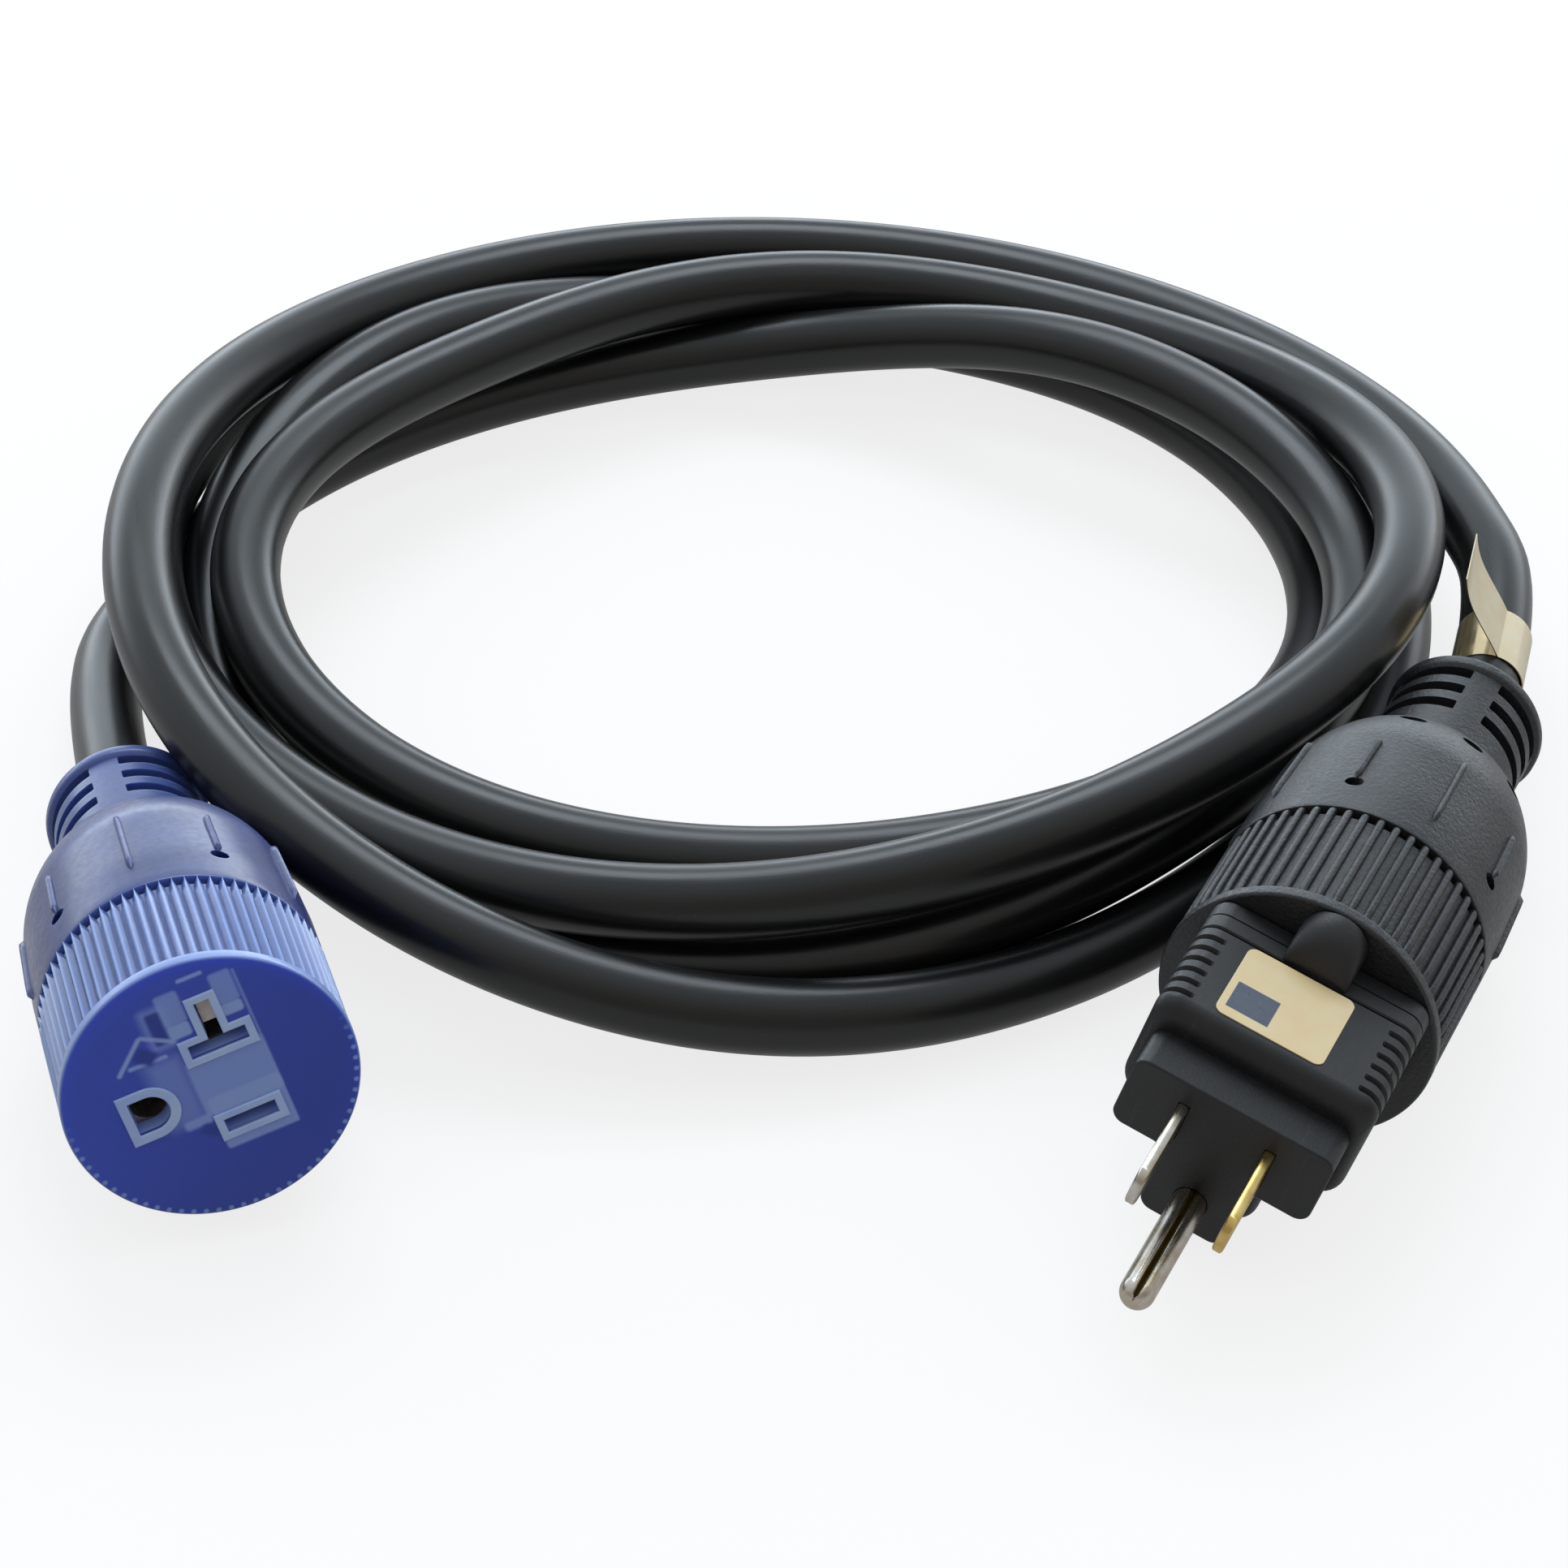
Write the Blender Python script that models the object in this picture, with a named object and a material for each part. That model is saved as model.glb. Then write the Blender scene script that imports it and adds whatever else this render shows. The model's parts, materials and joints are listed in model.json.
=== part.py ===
"""A coiled three-wire power cord with a moulded connector, a moulded plug and a pull-off adapter.

Metres, +Z up. The origin is on the floor, under the middle of the connector, plug and adapter.
Each moulded end is modelled about an empty at the centre of its face, with +Z out of the face and
+Y away from its ground contact. The adapter is modelled about the middle of its own front face,
and slides along that +Z to come off the plug.
"""

import math

import bmesh
import bpy
import numpy as np
from mathutils import Matrix, Vector

MM = 0.001
FIT_GAP = 0.3 * MM
JOIN_OVERLAP = 0.05 * MM
MERGE = 0.00001

# Standard 15 and 20 A contact pattern
BLADE_PITCH = 12.7 * MM
GROUND_DROP = 11.9 * MM
BLADE_WIDTH = 6.35 * MM
BLADE_THICKNESS = 1.5 * MM
GROUND_PIN_DIAMETER = 4.8 * MM
BLADE_LENGTH = 17.0 * MM
GROUND_PIN_LENGTH = 20.6 * MM
BLADE_TIP_TAPER = 0.45 * MM

# Moulded end: the outer turned shape, the same for connector and plug
SHELL_RADIUS = 20.0 * MM
GRIP_INSET = 0.4 * MM
FACE_EDGE = 0.5 * MM
RIM_WIDTH = 2.0 * MM
GRIP_LENGTH = 20.0 * MM
BODY_INSET = 0.1 * MM
BODY_TAPER = 0.5 * MM
BODY_LENGTH = 41.0 * MM
SHOULDER_LENGTH = 15.3 * MM
SHOULDER_SHAPE = (1.6, 0.6)
NECK_RADIUS = 11.2 * MM
NECK_LENGTH = 19.7 * MM
NECK_LIP = 0.7 * MM
NECK_LIP_WIDTH = 2.5 * MM
FACE_WALL = 3.0 * MM

# Flex relief slots round the neck
SLOT_ROWS = 3
SLOT_COLUMNS = 4
SLOT_WIDTH = 2.2 * MM
SLOT_PITCH = 4.2 * MM
SLOT_DEPTH = 3.0 * MM
SLOT_BAR_DEGREES = 23.0

# Inside a moulded end
BLOCK_RADIUS = 16.3 * MM
BLOCK_LENGTH = 36.4 * MM
FUNNEL_RADIUS = 12.9 * MM
FUNNEL_LENGTH = 14.0 * MM
WIRE_DIAMETER = 3.4 * MM
WIRE_SPARE = 0.2 * MM
CONTACT_WALL = 1.05 * MM
CONTACT_BACK = 2.0 * MM
CONTACT_DEPTH = 18.0 * MM
GROUND_CONTACT_DEPTH = 22.0 * MM
BARREL_RADIUS = 1.9 * MM
SLOT_BAR_HEIGHT = 8.0 * MM
BLADE_ROOT = 12.0 * MM
BLADE_LINE_CONNECTOR = 3.3 * MM
BLADE_LINE_PLUG = 1.7 * MM

# Adapter
ADAPTER_LENGTH = 30.9 * MM
ARM_HALF = 16.3 * MM
ARM_TOP = 11.4 * MM
ARM_BOTTOM = -6.2 * MM
STEM_HALF = 8.0 * MM
STEM_BOTTOM = -18.6 * MM
BODY_CORNER = 3.0 * MM
BOSS_HEIGHT = 7.0 * MM
BOSS_ARM_HALF = 14.6 * MM
BOSS_TOP = 6.8 * MM
BOSS_ARM_BOTTOM = -5.4 * MM
BOSS_STEM_HALF = 6.3 * MM
BOSS_STEM_BOTTOM = -16.9 * MM
BOSS_CORNER = 2.0 * MM
BOSS_EDGE = 0.4 * MM
FRONT_ROUND = 2.5 * MM
COVER_LENGTH = 6.0 * MM
COVER_EDGE = 0.4 * MM
HUMP_HALF = 4.8 * MM
HUMP_TOP = 18.2 * MM
HUMP_SINK = 2.0 * MM
ADAPTER_BLADE_LENGTH = 15.7 * MM
ADAPTER_PIN_LENGTH = 21.4 * MM
ADAPTER_SOCKET_FRONT = -8.0 * MM
LABEL_SIZE = (15.9 * MM, 14.4 * MM, 0.3 * MM)
LABEL_CORNER = 1.3 * MM
LABEL_SIDE = -1.2 * MM
LABEL_BACK = 0.6 * MM

# Cord
CORD_DIAMETER = 11.0 * MM
TAG_THICKNESS = 0.4 * MM
TAG_WIDTH = 11.5 * MM
TAG_FROM_NECK = 10.5 * MM
TAG_FLAP = 15.0 * MM
TAG_START_DEGREES = 78.0
TAG_CREASE_DEGREES = 104.0
TAG_FLAP_LEAN_DEGREES = (0, 10, 30, 40, 20, 5)

# Where the pieces lie
COIL_CENTRE = (-4.1 * MM, 103.4 * MM)
CONNECTOR_FROM_COIL = (-73.6 * MM, -136.9 * MM, 24.65 * MM)
CONNECTOR_HEADING = -73.7
CONNECTOR_TILT = 7.6
CONNECTOR_ROLL = -75.4
PLUG_FROM_COIL = (71.35 * MM, -116.85 * MM, 20.9 * MM)
PLUG_HEADING = -115.1
PLUG_TILT = 0.5
PLUG_ROLL = -16.4

# The coil: radius and height of the cord's middle in mm, at each eighth of a turn, clockwise from
# above, beginning at the coil's left side
COIL_LAPS = (
    ((102.5, 6.5), (83, 6.5), (71.5, 11), (75.5, 22.5), (91.5, 18.5), (92, 17), (88, 9), (87, 6)),
    ((88.5, 11.5), (85, 18.5), (88, 11.5), (91, 6.5), (88.5, 6), (77.5, 10), (74, 13), (81, 16.5)),
    ((82.5, 23), (73, 22.5), (79.5, 20), (90, 20), (99.5, 28), (94, 29), (91.5, 21), (93.5, 16.5)),
    ((101.5, 18.5), (108.5, 13.5), (113, 7.5), (110.5, 5.5), (100.5, 6), (96, 5.5), (104.5, 9.5),
     (103, 24.5)),
    ((97.5, 30), (97, 21.5), (99, 17), (104, 16), (110.5, 21)),
)
COIL_STEP_DEGREES = 15
LEAD_POINTS = 5
LEAD_STIFFNESS = 0.6

SHELL_SEGMENTS = 40
BLOCK_SEGMENTS = 32
PIN_SEGMENTS = 16
CORNER_STEPS = 3

SHELL_LENGTH = BODY_LENGTH + SHOULDER_LENGTH + NECK_LENGTH
WIRE_TRIANGLE = WIRE_DIAMETER / math.sqrt(3) + WIRE_SPARE
BORE_RADIUS = WIRE_TRIANGLE + WIRE_DIAMETER / 2 + FIT_GAP
SLOT_HALF = BLADE_THICKNESS / 2 + FIT_GAP
BLADE_X = BLADE_PITCH / 2
CROSS_BLADE_X = BLADE_X - SLOT_HALF + FIT_GAP + BLADE_WIDTH / 2


def material(name, colour, roughness, metallic=0.0):
    """A plain Principled material."""
    made = bpy.data.materials.new(name)
    made.use_nodes = True
    shader = made.node_tree.nodes["Principled BSDF"]
    shader.inputs["Base Color"].default_value = (*colour, 1.0)
    shader.inputs["Roughness"].default_value = roughness
    shader.inputs["Metallic"].default_value = metallic
    return made


def clear_scene():
    for obj in list(bpy.data.objects):
        bpy.data.objects.remove(obj, do_unlink=True)


def object_from(name, mesh_builder, finish=None, frame=None):
    """A mesh object from a bmesh, closed and with its faces pointing out, placed in a frame."""
    bmesh.ops.remove_doubles(mesh_builder, verts=mesh_builder.verts, dist=MERGE)
    bmesh.ops.recalc_face_normals(mesh_builder, faces=mesh_builder.faces)
    mesh = bpy.data.meshes.new(name)
    mesh_builder.to_mesh(mesh)
    mesh_builder.free()
    mesh.shade_smooth()
    mesh.set_sharp_from_angle(angle=math.radians(35))
    obj = bpy.data.objects.new(name, mesh)
    bpy.context.collection.objects.link(obj)
    if finish:
        mesh.materials.append(finish(name))
    if frame:
        obj.parent = frame
    return obj


def helper(obj):
    """A solid that only cuts or joins another one."""
    obj.hide_render = True
    obj.display_type = "WIRE"
    return obj


def combine(obj, others, operation):
    """Cut the others out of a piece, or join them to it."""
    for other in others:
        modifier = obj.modifiers.new(operation.title(), "BOOLEAN")
        modifier.operation = operation
        modifier.solver = "EXACT"
        modifier.object = helper(other)
    return obj


def add_turned(builder, profile, segments, start=0.0):
    """Revolve (radius, z) points round Z. Points on the axis become one vertex."""
    rings = []
    for radius, z in profile:
        if radius < MERGE:
            rings.append([builder.verts.new((0, 0, z))])
            continue
        angles = [start + math.tau * k / segments for k in range(segments)]
        rings.append([builder.verts.new((radius * math.cos(a), radius * math.sin(a), z)) for a in angles])
    if profile[0][0] >= MERGE:
        rings.append(rings[0])
    for ring, following in zip(rings, rings[1:]):
        for k in range(segments):
            corners = [ring[k % len(ring)], ring[(k + 1) % len(ring)]]
            corners += [following[(k + 1) % len(following)], following[k % len(following)]]
            corners = list(dict.fromkeys(corners))
            if len(corners) > 2:
                builder.faces.new(corners)


def turned(name, profile, segments, finish=None, frame=None, centre=(0, 0)):
    """A turned solid whose axis stands at a point of the frame's XY plane."""
    builder = bmesh.new()
    add_turned(builder, profile, segments)
    bmesh.ops.translate(builder, verts=builder.verts, vec=(*centre, 0))
    return object_from(name, builder, finish, frame)


def add_loft(builder, sections):
    """Join outlines of equal point count at their heights, with both ends closed."""
    rings = [[builder.verts.new((x, y, z)) for x, y in outline] for z, outline in sections]
    count = len(rings[0])
    for ring, following in zip(rings, rings[1:]):
        for k in range(count):
            step = (k + 1) % count
            builder.faces.new((ring[k], ring[step], following[step], following[k]))
    builder.faces.new(rings[0])
    builder.faces.new(rings[-1])


def loft(name, sections, finish=None, frame=None):
    builder = bmesh.new()
    add_loft(builder, sections)
    return object_from(name, builder, finish, frame)


def rectangle(width, height, centre=(0, 0)):
    x, y = centre
    return [(x + sx * width / 2, y + sy * height / 2) for sx, sy in ((-1, -1), (1, -1), (1, 1), (-1, 1))]


def block(name, size, centre, z_range, finish=None, frame=None):
    """A box with its XY size and centre, between two heights."""
    outline = rectangle(*size, centre)
    return loft(name, [(z_range[0], outline), (z_range[1], outline)], finish, frame)


def rounded(corners, radius):
    """An outline whose corners, convex or not, are rounded to one radius."""
    outline = []
    count = len(corners)
    for k, corner in enumerate(corners):
        here = Vector(corner)
        before = (Vector(corners[k - 1]) - here).normalized()
        after = (Vector(corners[(k + 1) % count]) - here).normalized()
        middle = here + (before + after) * radius
        for step in range(CORNER_STEPS + 1):
            turn = step / CORNER_STEPS * math.pi / 2
            point = middle - after * radius * math.cos(turn) - before * radius * math.sin(turn)
            outline.append(tuple(point))
    return outline


def tee(arm_half, top, arm_bottom, stem_half, stem_bottom, corner):
    """The adapter's T outline: two arms over a stem."""
    right = [(stem_half, stem_bottom), (stem_half, arm_bottom), (arm_half, arm_bottom), (arm_half, top)]
    left = [(-x, y) for x, y in reversed(right)]
    return rounded(right + left, corner)


def end_frame(name, face, heading, tilt, roll):
    """An empty at the centre of a face, with +Z out of it."""
    heading, tilt, roll = (math.radians(value) for value in (heading, tilt, roll))
    plan = math.cos(tilt)
    outward = Vector((plan * math.cos(heading), plan * math.sin(heading), math.sin(tilt)))
    across = Vector((0, 0, 1)).cross(outward).normalized()
    upward = outward.cross(across)
    turn = Matrix((across, upward, outward)).transposed() @ Matrix.Rotation(roll, 3, "Z")
    frame = bpy.data.objects.new(name, None)
    frame.location = face
    frame.rotation_euler = turn.to_euler()
    bpy.context.collection.objects.link(frame)
    return frame


def black_plastic(name):
    return material(name, (0.02, 0.021, 0.023), 0.55)


def blue_plastic(name):
    return material(name, (0.02, 0.16, 0.42), 0.35)


def cord_jacket(name):
    return material(name, (0.02, 0.02, 0.022), 0.5)


def inner_plastic(name):
    return material(name, (0.45, 0.5, 0.55), 0.5)


def nickel(name):
    return material(name, (0.66, 0.63, 0.58), 0.25, 1.0)


def brass(name):
    return material(name, (0.78, 0.57, 0.24), 0.3, 1.0)


def copper(name):
    return material(name, (0.72, 0.38, 0.22), 0.35, 1.0)


def foil(name):
    return material(name, (0.78, 0.68, 0.45), 0.3)


def wire_finish(colour):
    return lambda name: material(name, colour, 0.5)


def shell_profile():
    """Outer profile of a moulded end from its face back to its neck's lip, as (radius, z)."""
    grip = SHELL_RADIUS - GRIP_INSET
    body = SHELL_RADIUS - BODY_INSET
    grip_end = RIM_WIDTH + GRIP_LENGTH
    straight_end = grip_end + (BODY_LENGTH - grip_end) * 0.4
    points = [
        (SHELL_RADIUS - FACE_EDGE, 0),
        (SHELL_RADIUS, -FACE_EDGE),
        (SHELL_RADIUS, -RIM_WIDTH),
        (grip, -RIM_WIDTH - GRIP_INSET),
        (grip, -grip_end),
        (body, -grip_end - GRIP_INSET),
        (body, -straight_end),
    ]
    shoulder_radius = body - BODY_TAPER
    power, root = SHOULDER_SHAPE
    for share in (0, 0.2, 0.4, 0.6, 0.78, 0.9, 0.97, 1):
        radius = NECK_RADIUS + (shoulder_radius - NECK_RADIUS) * (1 - share**power) ** root
        points.append((radius, -BODY_LENGTH - SHOULDER_LENGTH * share))
    lip = SHELL_LENGTH - NECK_LIP_WIDTH
    points += [
        (NECK_RADIUS, -lip),
        (NECK_RADIUS + NECK_LIP, -lip - NECK_LIP),
        (NECK_RADIUS + NECK_LIP, -SHELL_LENGTH + FACE_EDGE),
        (NECK_RADIUS + NECK_LIP - FACE_EDGE, -SHELL_LENGTH),
    ]
    return points


def cavity_profile():
    """Inside of a moulded end, from its rear bore forward to the back of the face wall."""
    block_back = FACE_WALL + FIT_GAP + BLOCK_LENGTH + FIT_GAP
    return [
        (BORE_RADIUS, -SHELL_LENGTH),
        (BORE_RADIUS, -block_back - FUNNEL_LENGTH),
        (FUNNEL_RADIUS, -block_back - WIRE_DIAMETER),
        (FUNNEL_RADIUS, -block_back),
        (BLOCK_RADIUS + FIT_GAP, -block_back),
        (BLOCK_RADIUS + FIT_GAP, -FACE_WALL),
        (0, -FACE_WALL),
    ]


def neck_slots(name, frame):
    """The cutter for the rows of slots round the neck: one closed wedge for each slot."""
    builder = bmesh.new()
    inner = NECK_RADIUS - SLOT_DEPTH
    outer = NECK_RADIUS + SLOT_DEPTH
    pitch = math.tau / SLOT_COLUMNS
    sweep = pitch - math.radians(SLOT_BAR_DEGREES)
    pieces = 6
    for row in range(SLOT_ROWS):
        back = -SHELL_LENGTH + NECK_LIP_WIDTH + row * SLOT_PITCH
        for column in range(SLOT_COLUMNS):
            first = math.radians(SLOT_BAR_DEGREES / 2) + column * pitch
            angles = [first + sweep * k / pieces for k in range(pieces + 1)]
            outline = [(outer * math.cos(a), outer * math.sin(a)) for a in angles]
            outline += [(inner * math.cos(a), inner * math.sin(a)) for a in reversed(angles)]
            add_loft(builder, [(back, outline), (back + SLOT_WIDTH, outline)])
    return object_from(name, builder, frame=frame)


def shell(name, finish, frame):
    """A moulded end's overmould, hollow round its block and bored for the three wires."""
    piece = turned(name, [(0, 0)] + shell_profile() + cavity_profile(), SHELL_SEGMENTS, finish, frame)
    return combine(piece, [neck_slots(name + "_slots", frame)], "DIFFERENCE")


def upright_slot(name, centre, z_range, frame):
    """A cutter for an upright blade, a fit gap larger than it."""
    size = (BLADE_THICKNESS + 2 * FIT_GAP, BLADE_WIDTH + 2 * FIT_GAP)
    return block(name, size, centre, z_range, frame=frame)


def tee_slot(name, side, blade_line, z_range, frame):
    """A cutter for a slot that takes an upright blade or one that lies across."""
    centre = (side * BLADE_X, blade_line)
    bar = block(name, (2 * SLOT_HALF, SLOT_BAR_HEIGHT), centre, z_range, frame=frame)
    inner = BLADE_X - SLOT_HALF
    outer = CROSS_BLADE_X + BLADE_WIDTH / 2 + FIT_GAP
    across = (side * (inner + outer) / 2, blade_line)
    size = (outer - inner, 2 * SLOT_HALF)
    reach = (z_range[0] - JOIN_OVERLAP, z_range[1] + JOIN_OVERLAP)
    return combine(bar, [block(name + "_arm", size, across, reach, frame=frame)], "UNION")


def round_hole(name, radius, centre, z_range, frame, segments=PIN_SEGMENTS):
    profile = [(0, z_range[1]), (radius, z_range[1]), (radius, z_range[0]), (0, z_range[0])]
    return turned(name, profile, segments, frame=frame, centre=centre)


def contact_size(across, tee_shaped=False):
    """XY size of a spring contact round its blade."""
    length = BLADE_WIDTH + 2 * FIT_GAP + 2 * CONTACT_WALL
    width = 2 * SLOT_HALF + 2 * CONTACT_WALL
    if tee_shaped:
        return (length, SLOT_BAR_HEIGHT + 2 * CONTACT_WALL)
    return (length, width) if across else (width, length)


def pocket(name, size, centre, z_range, frame):
    return block(name, (size[0] + 2 * FIT_GAP, size[1] + 2 * FIT_GAP), centre, z_range, frame=frame)


def barrel(name, centre, z_range, frame, radius=BARREL_RADIUS):
    return round_hole(name, radius, centre, z_range, frame)


def block_range():
    front = -FACE_WALL - FIT_GAP
    return front - BLOCK_LENGTH, front


def inner_block(name, pockets, barrels, frame):
    """The moulded block that holds the contacts or blades in an end."""
    back, front = block_range()
    profile = [(0, front), (BLOCK_RADIUS, front), (BLOCK_RADIUS, back), (0, back)]
    piece = turned(name, profile, BLOCK_SEGMENTS, inner_plastic, frame)
    return combine(piece, pockets + barrels, "DIFFERENCE")


def contact_places(blade_line, neutral_side, neutral_x):
    """Centres of hot, neutral and ground in an end."""
    return {
        "hot": (-neutral_side * BLADE_X, blade_line),
        "neutral": (neutral_side * neutral_x, blade_line),
        "ground": (0, blade_line - GROUND_DROP),
    }


def add_wires(prefix, places, frame):
    """Three insulated wires, from the backs of the contacts into a close bundle in the neck."""
    colours = {"hot": (0.02, 0.02, 0.02), "neutral": (0.8, 0.8, 0.78), "ground": (0.03, 0.3, 0.08)}
    start = block_range()[0] - FIT_GAP
    bundle = start - FIT_GAP - FUNNEL_LENGTH
    for wire, place in places.items():
        angle = math.atan2(place[1], place[0])
        if wire != "ground":
            angle = math.radians(30 if place[0] > 0 else 150)
        end = (WIRE_TRIANGLE * math.cos(angle), WIRE_TRIANGLE * math.sin(angle))
        bend = start - WIRE_DIAMETER / 2
        points = [(*place, start)]
        for share in (0, 0.15, 0.3, 0.45, 0.6, 0.75, 0.9, 1):
            ease = share * share * (3 - 2 * share)
            across = [a + (b - a) * ease for a, b in zip(place, end)]
            points.append((*across, bend + (bundle - bend) * share))
        points.append((*end, -SHELL_LENGTH + FIT_GAP))
        tube(f"{prefix}_{wire}_wire", points, WIRE_DIAMETER, 2, wire_finish(colours[wire]), frame)


def tube(name, points, diameter, resolution, finish, frame=None):
    """A filled round tube along points."""
    curve = bpy.data.curves.new(name, "CURVE")
    curve.dimensions = "3D"
    curve.bevel_depth = diameter / 2
    curve.bevel_resolution = resolution
    curve.use_fill_caps = True
    spline = curve.splines.new("POLY")
    spline.points.add(len(points) - 1)
    for spot, point in zip(spline.points, points):
        spot.co = (*point, 1)
    curve.materials.append(finish(name))
    obj = bpy.data.objects.new(name, curve)
    bpy.context.collection.objects.link(obj)
    if frame:
        obj.parent = frame
    return obj


def connector(frame):
    """The blue socket end: overmould, block, three spring contacts and their wires."""
    places = contact_places(BLADE_LINE_CONNECTOR, -1, CROSS_BLADE_X)
    hole_range = (-FACE_WALL - FIT_GAP, FIT_GAP)
    ground_bore = GROUND_PIN_DIAMETER / 2 + FIT_GAP
    body = shell("connector_shell", blue_plastic, frame)
    face_holes = [
        upright_slot("face_hot_cut", places["hot"], hole_range, frame),
        tee_slot("face_neutral_cut", -1, BLADE_LINE_CONNECTOR, hole_range, frame),
        round_hole("face_ground_cut", ground_bore, places["ground"], hole_range, frame),
    ]
    combine(body, face_holes, "DIFFERENCE")

    back, front = block_range()
    sizes = {"hot": contact_size(False), "neutral": contact_size(True, True)}
    depths = {"hot": CONTACT_DEPTH, "neutral": CONTACT_DEPTH, "ground": GROUND_CONTACT_DEPTH}
    ground_radius = ground_bore + CONTACT_WALL
    pockets = []
    barrels = []
    for name, place in places.items():
        reach = (front - depths[name] - CONTACT_BACK - FIT_GAP, front + FIT_GAP)
        if name == "ground":
            cut = round_hole("pocket_ground_cut", ground_radius + FIT_GAP, place, reach, frame)
        else:
            cut = pocket(f"pocket_{name}_cut", sizes[name], place, reach, frame)
        pockets.append(cut)
        way = (back - FIT_GAP, reach[0] + FIT_GAP)
        barrels.append(barrel(f"barrel_{name}_cut", place, way, frame, BARREL_RADIUS + FIT_GAP))
    inner_block("connector_contact_block", pockets, barrels, frame)

    for name, place in places.items():
        seat = (front - depths[name] - CONTACT_BACK, front)
        if name == "ground":
            profile = [(0, seat[0] + CONTACT_BACK), (ground_bore, seat[0] + CONTACT_BACK), (ground_bore, seat[1])]
            profile += [(ground_radius, seat[1]), (ground_radius, seat[0]), (0, seat[0])]
            piece = turned("connector_ground_contact", profile, PIN_SEGMENTS, brass, frame, place)
        else:
            piece = block(f"connector_{name}_contact", sizes[name], place, seat, brass, frame)
            mouth = (seat[0] + CONTACT_BACK, seat[1] + FIT_GAP)
            if name == "hot":
                cut = upright_slot("contact_hot_cut", place, mouth, frame)
            else:
                cut = tee_slot("contact_neutral_cut", -1, BLADE_LINE_CONNECTOR, mouth, frame)
            combine(piece, [cut], "DIFFERENCE")
        tail = (back, seat[0] + CONTACT_BACK / 2)
        combine(piece, [barrel(f"connector_{name}_barrel", place, tail, frame)], "UNION")
    add_wires("connector", places, frame)


def blade(name, centre, across, z_range, finish, frame):
    """A flat blade with a tapered tip at the upper end of its range."""
    size = (BLADE_WIDTH, BLADE_THICKNESS) if across else (BLADE_THICKNESS, BLADE_WIDTH)
    tip = [side - 2 * BLADE_TIP_TAPER for side in size]
    full = rectangle(*size, centre)
    return loft(name, [(z_range[0], full), (z_range[1] - 2 * BLADE_TIP_TAPER, full),
                       (z_range[1], rectangle(*tip, centre))], finish, frame)


def round_pin(name, centre, z_range, finish, frame):
    """A round pin with a domed end at the upper end of its range."""
    radius = GROUND_PIN_DIAMETER / 2
    profile = [(0, z_range[0]), (radius, z_range[0])]
    dome = [(radius * math.cos(a), z_range[1] - radius + radius * math.sin(a)) for a in (0, 0.5, 1.0)]
    profile += dome + [(0, z_range[1])]
    return turned(name, profile, PIN_SEGMENTS, finish, frame, centre)


def plug(frame):
    """The black plug: overmould, block, two blades, a ground pin and their wires."""
    places = contact_places(BLADE_LINE_PLUG, 1, CROSS_BLADE_X)
    hole_range = (-FACE_WALL - FIT_GAP, FIT_GAP)
    pin_radius = GROUND_PIN_DIAMETER / 2
    cross_hole = (BLADE_WIDTH + 2 * FIT_GAP, BLADE_THICKNESS + 2 * FIT_GAP)
    body = shell("plug_shell", black_plastic, frame)
    face_holes = [
        upright_slot("plug_hot_hole", places["hot"], hole_range, frame),
        block("plug_neutral_hole", cross_hole, places["neutral"], hole_range, frame=frame),
        round_hole("plug_ground_hole", pin_radius + FIT_GAP, places["ground"], hole_range, frame),
    ]
    combine(body, face_holes, "DIFFERENCE")

    back, front = block_range()
    root = front - BLADE_ROOT
    reach = (root - FIT_GAP, front + FIT_GAP)
    pockets = [
        upright_slot("block_hot_cut", places["hot"], reach, frame),
        block("block_neutral_cut", cross_hole, places["neutral"], reach, frame=frame),
        round_hole("block_ground_cut", pin_radius + FIT_GAP, places["ground"], reach, frame),
    ]
    way = (back - FIT_GAP, root + CONTACT_BACK + FIT_GAP)
    barrels = [
        barrel(f"plug_barrel_{name}_cut", place, way, frame, BARREL_RADIUS + FIT_GAP)
        for name, place in places.items()
    ]
    inner_block("plug_blade_block", pockets, barrels, frame)

    hot = blade("plug_hot_blade", places["hot"], False, (root, BLADE_LENGTH), nickel, frame)
    neutral = blade("plug_neutral_blade", places["neutral"], True, (root, BLADE_LENGTH), nickel, frame)
    ground = round_pin("plug_ground_pin", places["ground"], (root, GROUND_PIN_LENGTH), nickel, frame)
    tail = (back, root + CONTACT_BACK)
    for name, piece in (("hot", hot), ("neutral", neutral), ("ground", ground)):
        combine(piece, [barrel(f"plug_{name}_barrel", places[name], tail, frame)], "UNION")
    add_wires("plug", places, frame)


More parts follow.
